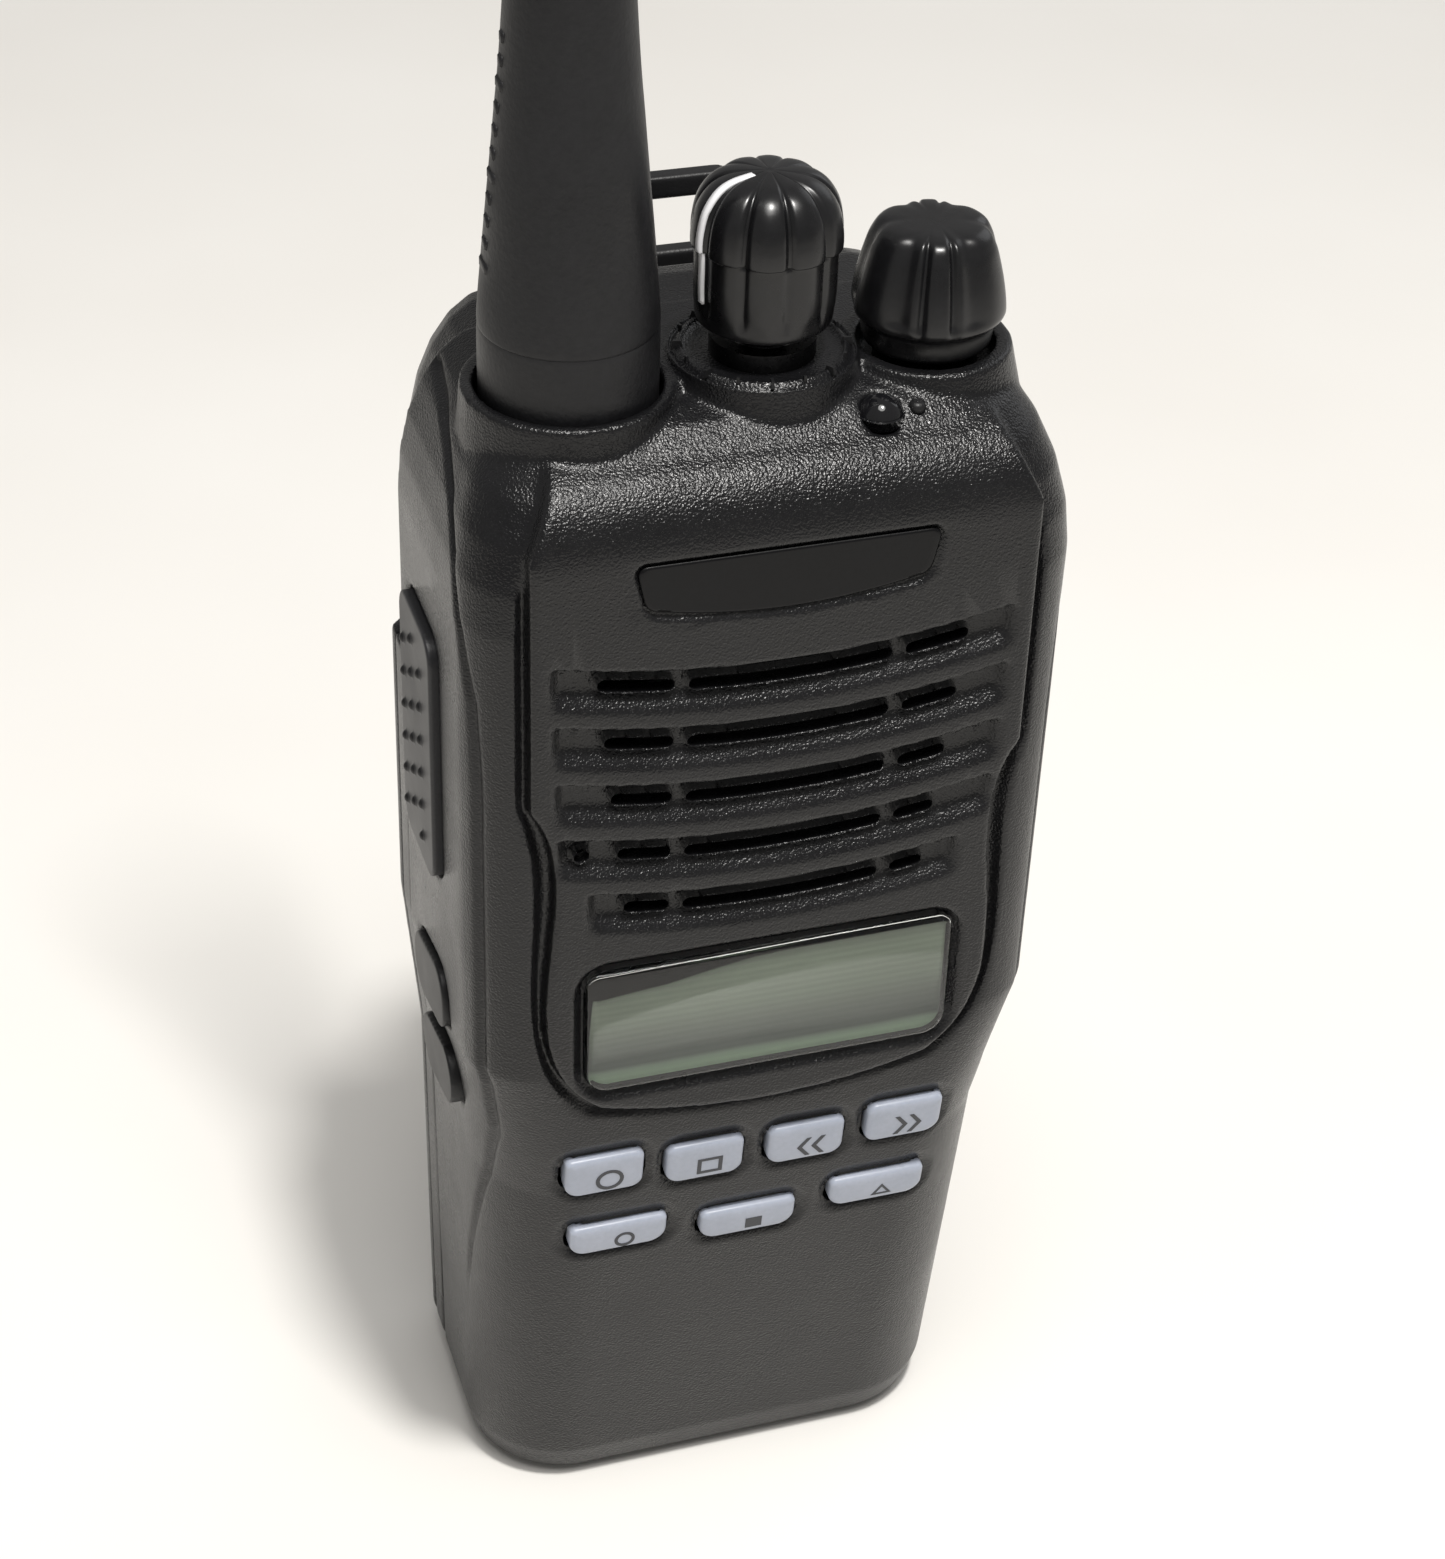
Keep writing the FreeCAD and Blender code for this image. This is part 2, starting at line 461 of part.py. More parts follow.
def case_gasket():
    seal = body_loft(WALL, BODY_BACK, CAVITY_FLOOR, HEIGHT - CAVITY_ROOF)
    inner = body_loft(WALL + 1.3, BODY_BACK, 3.5, HEIGHT - 3.5)
    band = box(-40, BODY_BACK - 2.8, 2.2, 40, BODY_BACK - 1.8, BLOCK_BOTTOM - 0.2)
    inner_band = box(-40, 0, 3.5, 40, 20, BLOCK_BOTTOM - 1.5)
    return one_solid(seal.common(band).cut(inner.common(inner_band)))


# ---- front panel pieces ------------------------------------------------------------
def lcd_lens():
    lens = plate_y(0, LENS_Z, LENS_WIDTH, LENS_HEIGHT, LENS_RADIUS,
                   PANEL_FRONT - LENS_PROUD, PANEL_FRONT + LENS_SEAT)
    return lens


def lcd_gasket():
    face = RIM_FRONT + WALL
    outer = plate_y(0, LENS_Z, LENS_WIDTH - 1.0, LENS_HEIGHT - 1.0, 1.0, face, face + 0.5)
    return outer.cut(plate_y(0, LENS_Z, LENS_WIDTH - 2 * WINDOW_BORDER,
                             LENS_HEIGHT - 2 * WINDOW_BORDER, 1.0, face - 1, face + 1))


def lcd_module():
    face = RIM_FRONT + WALL + 0.5
    return box(-LENS_WIDTH / 2 + 0.5, face, LENS_Z - LENS_HEIGHT / 2 + 0.5,
               LENS_WIDTH / 2 - 0.5, face + 2.6, LENS_Z + LENS_HEIGHT / 2 - 0.5)


def name_plate():
    return plate_y(0, PLATE_Z, PLATE_WIDTH - 0.2, PLATE_HEIGHT - 0.2, 1.5,
                   PANEL_FRONT + 0.15, PANEL_FRONT + PLATE_DEPTH)


def speaker_cloth():
    face = RIM_FRONT + WALL
    return cyl_y(SPEAKER_X, SPEAKER_Z, face, face + 0.4, SPEAKER_RADIUS)


def speaker():
    face = RIM_FRONT + WALL + 0.4
    frame = cyl_y(SPEAKER_X, SPEAKER_Z, face, face + 2.6, SPEAKER_RADIUS)
    magnet = cyl_y(SPEAKER_X, SPEAKER_Z, face + 2.6, face + 6.4, 8.0)
    cone = Part.makeCone(12.0, 5.0, 2.0, V(SPEAKER_X, face, SPEAKER_Z), V(0, 1, 0))
    return fuse(frame, magnet).cut(cone)


def microphone():
    face = RIM_FRONT + WALL
    return cyl_y(MIC_X, MIC_Z, face, face + 3.0, 2.0)


def key_cap(key):
    cap = key_plate(key, 0, KEY_PROUD, -WALL - 0.4)
    flange = key_plate(key, KEY_FLANGE, -WALL - 0.4, -WALL - 1.0)
    return fuse(cap, flange)


def panel_sheet(depth0, depth1, width, margin):
    low = (33.0 - WAIST_Z) + margin
    high = (51.6 - WAIST_Z) - margin
    sheet = plate_y(0, (low + high) / 2, width, high - low, 2.0, depth0, depth1)
    return on_panel(sheet)


def keypad_membrane():
    start = WALL + 1.0 + KEY_TRAVEL + 0.2
    return panel_sheet(start, start + 0.8, 39.0, 0)


def keypad_board():
    start = WALL + 1.8 + KEY_TRAVEL + 0.2
    return panel_sheet(start, start + 1.0, 38.0, 0.5)


# ---- side pieces -------------------------------------------------------------------
def ptt_key():
    face = -HALF_WIDTH - PTT_PROUD
    mid_y, mid_z = (PTT_Y0 + PTT_Y1) / 2, (PTT_Z0 + PTT_Z1) / 2
    key = plate_x(mid_y, mid_z, PTT_Y1 - PTT_Y0, PTT_Z1 - PTT_Z0, 2.4, face, face + PTT_THICK)
    for column, y in enumerate((PTT_Y0 + 3.6, PTT_Y0 + 6.6, PTT_Y0 + 9.6)):
        shift = PTT_DOT_PITCH / 2 if column == 1 else 0.0
        for i in range(PTT_DOTS):
            z = PTT_Z0 + 3.2 + shift + i * PTT_DOT_PITCH
            dot = Part.makeSphere(PTT_DOT_RADIUS, V(face, y, z))
            key = key.fuse(dot)
    return key


def ptt_seal():
    start = -HALF_WIDTH - PTT_PROUD + PTT_THICK + PTT_TRAVEL + 0.2
    return plate_x((PTT_Y0 + PTT_Y1) / 2, (PTT_Z0 + PTT_Z1) / 2, PTT_Y1 - PTT_Y0,
                   PTT_Z1 - PTT_Z0, 2.4, start, start + 0.8)


def side_key_plate(key, grow, x0, x1):
    _, y, z, length, height = key
    plate = plate_x(y, z, length + 2 * grow, height + 2 * grow, 3.0 + grow, x0, x1)
    plate.rotate(V(0, y, z), V(1, 0, 0), SIDE_KEY_LEAN)
    return plate


def side_key(key, proud):
    return side_key_plate(key, 0, -HALF_WIDTH - proud, -HALF_WIDTH + WALL + 0.4)


def side_switch_board():
    start = -HALF_WIDTH - PTT_PROUD + PTT_THICK + PTT_TRAVEL + 1.0
    return box(start, PTT_Y0 - 0.6, SIDE_KEYS[1][2] - 7.0, start + 0.8, PTT_Y1 - 0.8, PTT_Z1 - 0.6)


def connector_cover():
    mid_y, mid_z = (COVER_Y0 + COVER_Y1) / 2, (COVER_Z0 + COVER_Z1) / 2
    cover = plate_x(mid_y, mid_z, COVER_Y1 - COVER_Y0, COVER_Z1 - COVER_Z0, 3.0,
                    HALF_WIDTH, HALF_WIDTH + COVER_THICK)
    cover = cover.makeFillet(0.5, [e for e in cover.Edges
                                   if e.BoundBox.XMin > HALF_WIDTH + COVER_THICK - 0.01])
    return cover.cut(cyl_x(mid_y, COVER_Z1 - 5, HALF_WIDTH - 1, HALF_WIDTH + 3, 1.15))


def connector_screw():
    mid_y = (COVER_Y0 + COVER_Y1) / 2
    shank = cyl_x(mid_y, COVER_Z1 - 5, HALF_WIDTH - 4, HALF_WIDTH + COVER_THICK, 1.05)
    head = cyl_x(mid_y, COVER_Z1 - 5, HALF_WIDTH + COVER_THICK, HALF_WIDTH + COVER_THICK + 0.9, 2.6)
    return fuse(shank, head).cut(box(HALF_WIDTH + COVER_THICK + 0.4, mid_y - 3, COVER_Z1 - 5.35,
                                     HALF_WIDTH + 4, mid_y + 3, COVER_Z1 - 4.65))


def accessory_contacts():
    mid_y = (COVER_Y0 + COVER_Y1) / 2
    return plate_x(mid_y, COVER_Z0 + 9, 8.4, 12.8, 0.9, HALF_WIDTH - 3.4, HALF_WIDTH - 0.6)


# ---- boards ------------------------------------------------------------------------
def main_board():
    half = LOWER_HALF_WIDTH - WALL - 2.2
    return box(-half, BOARD_FRONT, BOARD_Z0, half, BOARD_FRONT + BOARD_THICK,
               HEIGHT - BOARD_TOP_GAP)


def shield_cans():
    back = BOARD_FRONT + BOARD_THICK
    return Part.makeCompound([box(-17.0, back, 58.0, 9.0, back + 3.0, 84.0),
                              box(-17.0, back, 28.0, 12.0, back + 3.0, 52.0)])


def battery_connector():
    return box(-8.0, BOARD_FRONT + BOARD_THICK, 14.0, 8.0, BODY_BACK + 0.1, 19.0)


# ---- top ---------------------------------------------------------------------------
def control(x, body_z0, body_z1, bush_top, half):
    body = box(x - half, -CONTROL_HALF_DEPTH, body_z0, x + half, CONTROL_HALF_DEPTH, body_z1)
    bush = cyl_z(x, 0, body_z1 - 0.5, bush_top, BUSH_RADIUS)
    bore = cyl_z(x, 0, body_z0 + 1.0, bush_top + 1, SHAFT_RADIUS + RUN_GAP)
    return fuse(body, bush).cut(bore)


def nut(x, z0):
    return cyl_z(x, 0, z0, z0 + NUT_HEIGHT, NUT_RADIUS).cut(cyl_z(x, 0, z0 - 1, z0 + 5, BUSH_RADIUS))


def lobed(x, z0, z1, count, centre_radius, groove_radius, phase):
    """Vertical grooves spaced round a knob."""
    cuts = []
    for i in range(count):
        a = math.radians(phase + 360.0 * i / count)
        cuts.append(cyl_z(x + centre_radius * math.cos(a), centre_radius * math.sin(a),
                          z0, z1, groove_radius))
    return cuts


def channel_knob():
    x, r, z0, z1 = CHANNEL_X, CHANNEL_KNOB_RADIUS, CHANNEL_KNOB_Z0, CHANNEL_KNOB_Z1
    profile = [(0, z0), (r - 1.2, z0), (r - 0.5, z0 + 1.2), (r, z0 + 3.0), (r, z0 + 8.6),
               (r - 0.5, z0 + 10.6), (r - 1.8, z0 + 12.4), (r - 3.8, z1 - 0.4), (0, z1)]
    knob = revolve_z(x, profile)
    for cut in lobed(x, z0 + 1.5, z1 + 1, 10, r + 0.9, 1.15, 18):
        knob = knob.cut(cut)
    knob = knob.cut(cyl_z(x, 0, z0 - 1, z1 - KNOB_ROOF, SHAFT_RADIUS))
    return one_solid(knob.cut(pointer_strip()))


def pointer_strip():
    """White index line let into the knob on its left."""
    x, r = CHANNEL_X, CHANNEL_KNOB_RADIUS
    return box(x - r - 1, -0.45, CHANNEL_KNOB_Z0 + 3.2, x - r + 0.7, 0.45,
               CHANNEL_KNOB_Z0 + 10.2)


def channel_pointer():
    x, r = CHANNEL_X, CHANNEL_KNOB_RADIUS
    return pointer_strip().common(cyl_z(x, 0, CHANNEL_KNOB_Z0, CHANNEL_KNOB_Z1, r - 0.15))


def volume_knob():
    x, r, z0, z1 = VOLUME_X, VOLUME_KNOB_RADIUS, VOLUME_KNOB_Z0, VOLUME_KNOB_Z1
    profile = [(0, z0), (r - 1.5, z0), (r - 1.3, z0 + 1.4), (r, z0 + 3.2), (r - 0.4, z0 + 5.8),
               (r - 1.2, z0 + 8.4), (r - 2.2, z1 - 0.7), (r - 3.6, z1), (0, z1)]
    knob = revolve_z(x, profile)
    for cut in lobed(x, z0 + 1.5, z1 + 1, 6, r + 1.2, 1.6, 0):
        knob = knob.cut(cut)
    return one_solid(knob.cut(cyl_z(x, 0, z0 - 1, z1 - KNOB_ROOF, SHAFT_RADIUS)))


def shaft(x, z0, z1):
    return cyl_z(x, 0, z0, z1, SHAFT_RADIUS)


def status_lens():
    z = deck_z(LED_Y)
    dome = Part.makeSphere(LED_RADIUS, V(LED_X, LED_Y, z - 0.5))
    stem = cyl_z(LED_X, LED_Y, z - 6.0, z - 0.5, LED_RADIUS)
    return fuse(stem, dome.common(box(0, -20, z - 0.5, 30, 20, z + 5)))


def antenna_socket():
    top = HEIGHT - 0.6
    socket = cyl_z(ANTENNA_X, 0, top - SOCKET_DEPTH, top, SOCKET_RADIUS)
    return socket.cut(cyl_z(ANTENNA_X, 0, top - SOCKET_DEPTH + SOCKET_FLOOR, HEIGHT,
                            STUD_RADIUS + RUN_GAP))


def antenna_seal_ring():
    ring = cyl_z(ANTENNA_X, 0, SEAL_Z0, SEAL_Z1, 4.8)
    return ring.cut(cyl_z(ANTENNA_X, 0, SEAL_Z0 - 1, SEAL_Z1 + 1, STUD_RADIUS + 0.3))


def antenna_stud():
    low = HEIGHT - 0.6 - SOCKET_DEPTH + SOCKET_FLOOR + 0.8
    return cyl_z(ANTENNA_X, 0, low, ANTENNA_SEAM_Z + 3, STUD_RADIUS)


def antenna_base():
    z0 = SEAL_Z1 + 0.05
    r = ANTENNA_RADIUS
    base = revolve_z(ANTENNA_X, [(0, z0), (r - 0.5, z0), (r, z0 + 0.6), (r, ANTENNA_SEAM_Z - 0.3),
                                 (r - 0.25, ANTENNA_SEAM_Z), (0, ANTENNA_SEAM_Z)])
    return base.cut(cyl_z(ANTENNA_X, 0, HEIGHT - 22, ANTENNA_SEAM_Z + 9, STUD_RADIUS))


def antenna_sheath():
    """Flared rubber whip with a domed tip."""
    z0, z1 = ANTENNA_SEAM_Z, ANTENNA_TIP_Z
    r = ANTENNA_RADIUS
    neck = z1 - TIP_RADIUS
    outline = [V(r, 0, z0), V(r * 0.70, 0, z0 + 26.0), V(r * 0.52, 0, z0 + 50.0),
               V(r * 0.45, 0, z0 + 85.0), V(TIP_RADIUS, 0, neck)]
    curve = Part.BSplineCurve()
    curve.interpolate(Points=outline)
    wire = Part.Wire([curve.toShape(), Part.LineSegment(V(TIP_RADIUS, 0, neck), V(0, 0, neck)).toShape(),
                      Part.LineSegment(V(0, 0, neck), V(0, 0, z0)).toShape(),
                      Part.LineSegment(V(0, 0, z0), V(r, 0, z0)).toShape()])
    whip = Part.Face(wire).revolve(V(0, 0, 0), V(0, 0, 1), 360)
    whip = whip.fuse(Part.makeSphere(TIP_RADIUS, V(0, 0, neck)))
    whip.translate(V(ANTENNA_X, 0, 0))
    bore = cyl_z(ANTENNA_X, 0, z0 - 1, z0 + 3.0, STUD_RADIUS)
    core = cyl_z(ANTENNA_X, 0, z0, z1 - COIL_SHORT, COIL_RADIUS)
    return whip.cut(bore).cut(core)


def antenna_coil():
    return cyl_z(ANTENNA_X, 0, ANTENNA_SEAM_Z + 3.0, ANTENNA_TIP_Z - COIL_SHORT, COIL_RADIUS)


# ---- battery -----------------------------------------------------------------------
def battery_section(z, half, y0, y1, corner):
    points = [V(-half, y0, z), V(half, y0, z), V(half, y1 - corner, z), V(half - corner, y1, z),
              V(-half + corner, y1, z), V(-half, y1 - corner, z), V(-half, y0, z)]
    return Part.makePolygon(points)


def battery_loft(inset, y0, y1):
    top = BLOCK_BOTTOM - BATTERY_GAP - 0.1
    rows = [(BATTERY_BOTTOM + inset, LOWER_HALF_WIDTH - 2.6), (4.5, LOWER_HALF_WIDTH - 0.2),
            (WAIST_Z - 7.3, LOWER_HALF_WIDTH + 0.2), (WAIST_Z + 9.7, HALF_WIDTH - 0.2),
            (top - inset, HALF_WIDTH - 0.2)]
    return Part.makeLoft([battery_section(z, half - inset, y0, y1, 4.5) for z, half in rows],
                         True, True)


def battery_hooks():
    hooks = []
    for x in (-HOOK_X, HOOK_X):
        for z in HOOK_ZS:
            neck = box(x - HOOK_NECK / 2, BODY_BACK - 2.2, z, x + HOOK_NECK / 2,
                       BODY_BACK + BATTERY_GAP + 0.5, z + HOOK_LENGTH)
            head = box(x - HOOK_HEAD / 2, BODY_BACK - 3.3, z, x + HOOK_HEAD / 2,
                       BODY_BACK - 2.1, z + HOOK_LENGTH)
            hooks.append(fuse(neck, head))
    return hooks


def battery_shell():
    outer = battery_loft(0, BODY_BACK + BATTERY_GAP, BATTERY_BACK)
    inner = battery_loft(BATTERY_WALL, BODY_BACK + BATTERY_GAP + BATTERY_WALL,
                         BATTERY_BACK - BATTERY_WALL)
    return outer.cut(inner)


def battery_tray():
    tray = battery_shell().common(box(-40, 0, -1, 40, BATTERY_SPLIT, 120))
    for hook in battery_hooks():
        tray = tray.fuse(hook)
    tray = tray.cut(terminal_blocks(0.0))
    return one_solid(tray.removeSplitter())


def battery_cover():
    return one_solid(battery_shell().common(box(-40, BATTERY_SPLIT, -1, 40, 40, 120)))


def battery_cells():
    y0 = BODY_BACK + BATTERY_GAP + BATTERY_WALL + 0.3
    y1 = BATTERY_BACK - BATTERY_WALL - 0.3
    cells = []
    for side in (-1, 1):
        x0, x1 = sorted((side * 0.4, side * 18.8))
        cells.append(box(x0, y0, 8.0, x1, y1, 78.0))
    return Part.makeCompound(cells)


def battery_board():
    y0 = BODY_BACK + BATTERY_GAP + BATTERY_WALL + 0.3
    return box(-15.0, y0, 80.0, 15.0, y0 + 1.0, 88.0)


def terminal_blocks(front):
    """Four contact pads in the front of the battery, from front back to the pad's depth."""
    y0 = BODY_BACK + BATTERY_GAP
    blocks = []
    for i in range(4):
        x = -6.0 + 4.0 * i
        blocks.append(box(x - 1.0, y0 + front, 14.5, x + 1.0, y0 + 0.7, 18.5))
    return Part.makeCompound(blocks)


def battery_terminals():
    return terminal_blocks(0.1)


def latch_button():
    button = box(-LATCH_HALF, BLOCK_BACK - WALL + 0.3, LATCH_Z0,
                 LATCH_HALF, BLOCK_BACK + LATCH_PROUD, LATCH_Z1)
    for i in range(3):
        z = LATCH_Z0 + 1.2 + 1.2 * i
        button = button.cut(cyl_x(BLOCK_BACK + LATCH_PROUD + 0.3, z, -LATCH_HALF, LATCH_HALF, 0.5))
    return button


# ---- belt clip ---------------------------------------------------------------------
def clip_base():
    y0, y1 = BLOCK_BACK, BLOCK_BACK + CLIP_BASE_THICK
    half = CLIP_HALF + CLIP_EAR
    mid = (CLIP_BASE_Z0 + CLIP_BASE_Z1) / 2
    plate = plate_y(0, mid, 2 * half, CLIP_BASE_Z1 - CLIP_BASE_Z0, 2.0, y0, y1)
    for side in (-1, 1):
        x0, x1 = sorted((side * (CLIP_HALF + CLIP_EAR_GAP), side * half))
        ear = box(x0, y0 + 0.5, CLIP_PIN_Z - 3.5, x1, CLIP_PIN_Y, CLIP_PIN_Z + 3.5)
        plate = plate.fuse(ear).fuse(cyl_x(CLIP_PIN_Y, CLIP_PIN_Z, x0, x1, 3.0))
    plate = plate.cut(cyl_x(CLIP_PIN_Y, CLIP_PIN_Z, -20, 20, CLIP_PIN_RADIUS))
    for x in (-CLIP_SCREW_X, CLIP_SCREW_X):
        plate = plate.cut(cyl_y(x, CLIP_BASE_Z0 + CLIP_SCREW_RISE, y0 - 1, y1 + 1, 1.1))
    return plate.removeSplitter()


def clip_pin():
    half = CLIP_HALF + CLIP_EAR
    return cyl_x(CLIP_PIN_Y, CLIP_PIN_Z, -half, half, CLIP_PIN_RADIUS)


def clip_screws():
    screws = []
    for x in (-CLIP_SCREW_X, CLIP_SCREW_X):
        z = CLIP_BASE_Z0 + CLIP_SCREW_RISE
        shank = cyl_y(x, z, BLOCK_BACK - 3.6, BLOCK_BACK + CLIP_BASE_THICK, 1.05)
        head = cyl_y(x, z, BLOCK_BACK + CLIP_BASE_THICK, BLOCK_BACK + CLIP_BASE_THICK + 0.9, 2.0)
        screws.append(fuse(shank, head))
    return Part.makeCompound(screws)


def clip_leaf():
    y0, y1, z0, z1 = CLIP_LEAF_Y0, CLIP_LEAF_Y1, CLIP_LEAF_Z0, CLIP_LEAF_Z1
    leaf = plate_y(0, (z0 + z1) / 2, 2 * CLIP_HALF, z1 - z0, 2.5, y0, y1)
    tip = prism_x([(y0 + 0.4, z0 + 2), (y0 + 0.4, z0 + 9), (BATTERY_BACK + 1.2, z0 + 5.5),
                   (BATTERY_BACK + 0.6, z0 + 3.6)], -CLIP_HALF + 1.5, CLIP_HALF - 1.5)
    leaf = fuse(leaf, tip)
    for side in (-1, 1):
        x0, x1 = sorted((side * 5.0, side * CLIP_HALF))
        leaf = leaf.fuse(cyl_x(CLIP_PIN_Y, CLIP_PIN_Z, x0, x1, 2.6))
    leaf = leaf.cut(cyl_x(CLIP_PIN_Y, CLIP_PIN_Z, -20, 20, CLIP_PIN_RADIUS + RUN_GAP))
    leaf = leaf.cut(box(-5.0, 20, CLIP_PIN_Z - 3.2, 5.0, 40, CLIP_PIN_Z + 3.2))
    leaf = leaf.cut(plate_y(0, z1 - 4.8, 2 * CLIP_HALF - 6.0, 5.2, 1.0, 20, 40))
    return one_solid(leaf.removeSplitter())


def clip_spring():
    coil = cyl_x(CLIP_PIN_Y, CLIP_PIN_Z, -4.6, 4.6, 2.2)
    return coil.cut(cyl_x(CLIP_PIN_Y, CLIP_PIN_Z, -6, 6, CLIP_PIN_RADIUS + 0.1))


# ---- write every node --------------------------------------------------------------
PARTS = {
    "front_case": front_case, "rear_chassis": rear_chassis, "case_gasket": case_gasket,
    "chassis_screws": chassis_screws, "lcd_lens": lcd_lens, "lcd_gasket": lcd_gasket,
    "lcd_module": lcd_module, "name_plate": name_plate, "speaker_cloth": speaker_cloth,
    "speaker": speaker, "microphone": microphone, "keypad_membrane": keypad_membrane,
    "keypad_board": keypad_board, "ptt_key": ptt_key, "ptt_seal": ptt_seal,
    "side_switch_board": side_switch_board, "connector_cover": connector_cover,
    "connector_screw": connector_screw, "accessory_contacts": accessory_contacts,
    "main_board": main_board, "shield_cans": shield_cans, "battery_connector": battery_connector,
    "channel_encoder": lambda: control(CHANNEL_X, ENCODER_TOP - ENCODER_TALL, ENCODER_TOP,
                                       CHANNEL_BEZEL_TOP, ENCODER_HALF),
    "channel_nut": lambda: nut(CHANNEL_X, CHANNEL_BEZEL_TOP - 1.2),
    "channel_shaft": lambda: shaft(CHANNEL_X, ENCODER_TOP - ENCODER_TALL + SHAFT_LIFT,
                                   CHANNEL_KNOB_Z1 - KNOB_ROOF),
    "channel_knob": channel_knob, "channel_pointer": channel_pointer,
    "volume_control": lambda: control(VOLUME_X, POT_TOP - POT_TALL, POT_TOP,
                                      VOLUME_BEZEL_TOP - 0.8, POT_HALF),
    "volume_nut": lambda: nut(VOLUME_X, VOLUME_BEZEL_TOP - 2.2),
    "volume_shaft": lambda: shaft(VOLUME_X, POT_TOP - POT_TALL + SHAFT_LIFT,
                                  VOLUME_KNOB_Z1 - KNOB_ROOF),
    "volume_knob": volume_knob, "status_lens": status_lens,
    "antenna_socket": antenna_socket, "antenna_seal_ring": antenna_seal_ring,
    "antenna_stud": antenna_stud, "antenna_base": antenna_base,
    "antenna_sheath": antenna_sheath, "antenna_coil": antenna_coil,
    "battery_tray": battery_tray, "battery_cover": battery_cover,
    "battery_cells": battery_cells, "battery_board": battery_board,
    "battery_terminals": battery_terminals, "latch_button": latch_button,
    "clip_base": clip_base, "clip_pin": clip_pin, "clip_screws": clip_screws,
    "clip_leaf": clip_leaf, "clip_spring": clip_spring,
}
for each in KEYS:
    PARTS[each[0]] = lambda key=each: key_cap(key)
for each, stand in zip(SIDE_KEYS, (0.5, 0.2)):
    PARTS[each[0]] = lambda key=each, proud=stand: side_key(key, proud)

for name, make in PARTS.items():
    shape = make()
    good = shape.isValid() and all(s.Volume > 0 for s in shape.Solids)
    print(name, len(shape.Solids), round(shape.Volume, 1), "ok" if good else "BAD")
    shape.exportStep("parts/" + name + ".step")
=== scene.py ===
"""Looks of the two way radio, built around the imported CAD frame. Lengths are millimetres
until a mesh is handed to Blender, where MM turns them into metres."""
import json
import math

import bmesh
import bpy
import numpy as np
from mathutils import Matrix, Vector


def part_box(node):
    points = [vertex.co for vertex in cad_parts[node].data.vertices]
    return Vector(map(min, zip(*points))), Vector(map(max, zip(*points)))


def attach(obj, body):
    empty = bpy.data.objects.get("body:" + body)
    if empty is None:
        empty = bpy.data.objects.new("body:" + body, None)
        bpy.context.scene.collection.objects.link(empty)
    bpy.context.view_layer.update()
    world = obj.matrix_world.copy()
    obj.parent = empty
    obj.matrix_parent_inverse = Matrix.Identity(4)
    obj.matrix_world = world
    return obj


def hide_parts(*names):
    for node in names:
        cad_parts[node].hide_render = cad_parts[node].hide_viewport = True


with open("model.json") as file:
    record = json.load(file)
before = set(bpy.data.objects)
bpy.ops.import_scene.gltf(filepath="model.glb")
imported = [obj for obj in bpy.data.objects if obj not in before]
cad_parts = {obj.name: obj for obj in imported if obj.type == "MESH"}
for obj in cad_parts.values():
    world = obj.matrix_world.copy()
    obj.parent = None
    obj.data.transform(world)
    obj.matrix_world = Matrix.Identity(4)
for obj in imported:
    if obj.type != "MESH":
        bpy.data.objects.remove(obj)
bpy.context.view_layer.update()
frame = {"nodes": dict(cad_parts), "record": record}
MM = 0.001
nodes = frame["nodes"]


def box_mm(node):
    """Lowest and highest corners of a CAD node, in millimetres."""
    low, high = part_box(node)
    return np.array(low) / MM, np.array(high) / MM


def middle(node):
    low, high = box_mm(node)
    return (low + high) / 2


# ---- materials ---------------------------------------------------------------------
FINE_SHARE = 0.45              # part of a surface's colour change that comes from its fine grain
DISPLAY_ROW = 2.2              # spacing of the faint rows on the display
ACRYLIC_IOR = 1.49


def node_tree(name):
    mat = bpy.data.materials.new(name)
    mat.use_nodes = True
    tree = mat.node_tree
    tree.nodes.clear()
    out = tree.nodes.new("ShaderNodeOutputMaterial")
    shader = tree.nodes.new("ShaderNodeBsdfPrincipled")
    tree.links.new(shader.outputs["BSDF"], out.inputs["Surface"])
    coord = tree.nodes.new("ShaderNodeTexCoord")
    return mat, tree, shader, coord.outputs["Object"]


def noise(tree, coord, size_mm, detail=2.0, rough=0.5):
    """Noise whose features are about size_mm across."""
    tex = tree.nodes.new("ShaderNodeTexNoise")
    tex.inputs["Scale"].default_value = 1.0 / (size_mm * MM)
    tex.inputs["Detail"].default_value = detail
    tex.inputs["Roughness"].default_value = rough
    tree.links.new(coord, tex.inputs["Vector"])
    return tex.outputs["Fac"]


def ramp(tree, value, low, high, colour_a, colour_b):
    element = tree.nodes.new("ShaderNodeValToRGB")
    element.color_ramp.elements[0].position = low
    element.color_ramp.elements[0].color = (*colour_a, 1)
    element.color_ramp.elements[1].position = high
    element.color_ramp.elements[1].color = (*colour_b, 1)
    tree.links.new(value, element.inputs["Fac"])
    return element.outputs["Color"]


def spread(tree, value, low, high, to_low, to_high):
    element = tree.nodes.new("ShaderNodeMapRange")
    element.inputs["From Min"].default_value = low
    element.inputs["From Max"].default_value = high
    element.inputs["To Min"].default_value = to_low
    element.inputs["To Max"].default_value = to_high
    tree.links.new(value, element.inputs["Value"])
    return element.outputs["Result"]


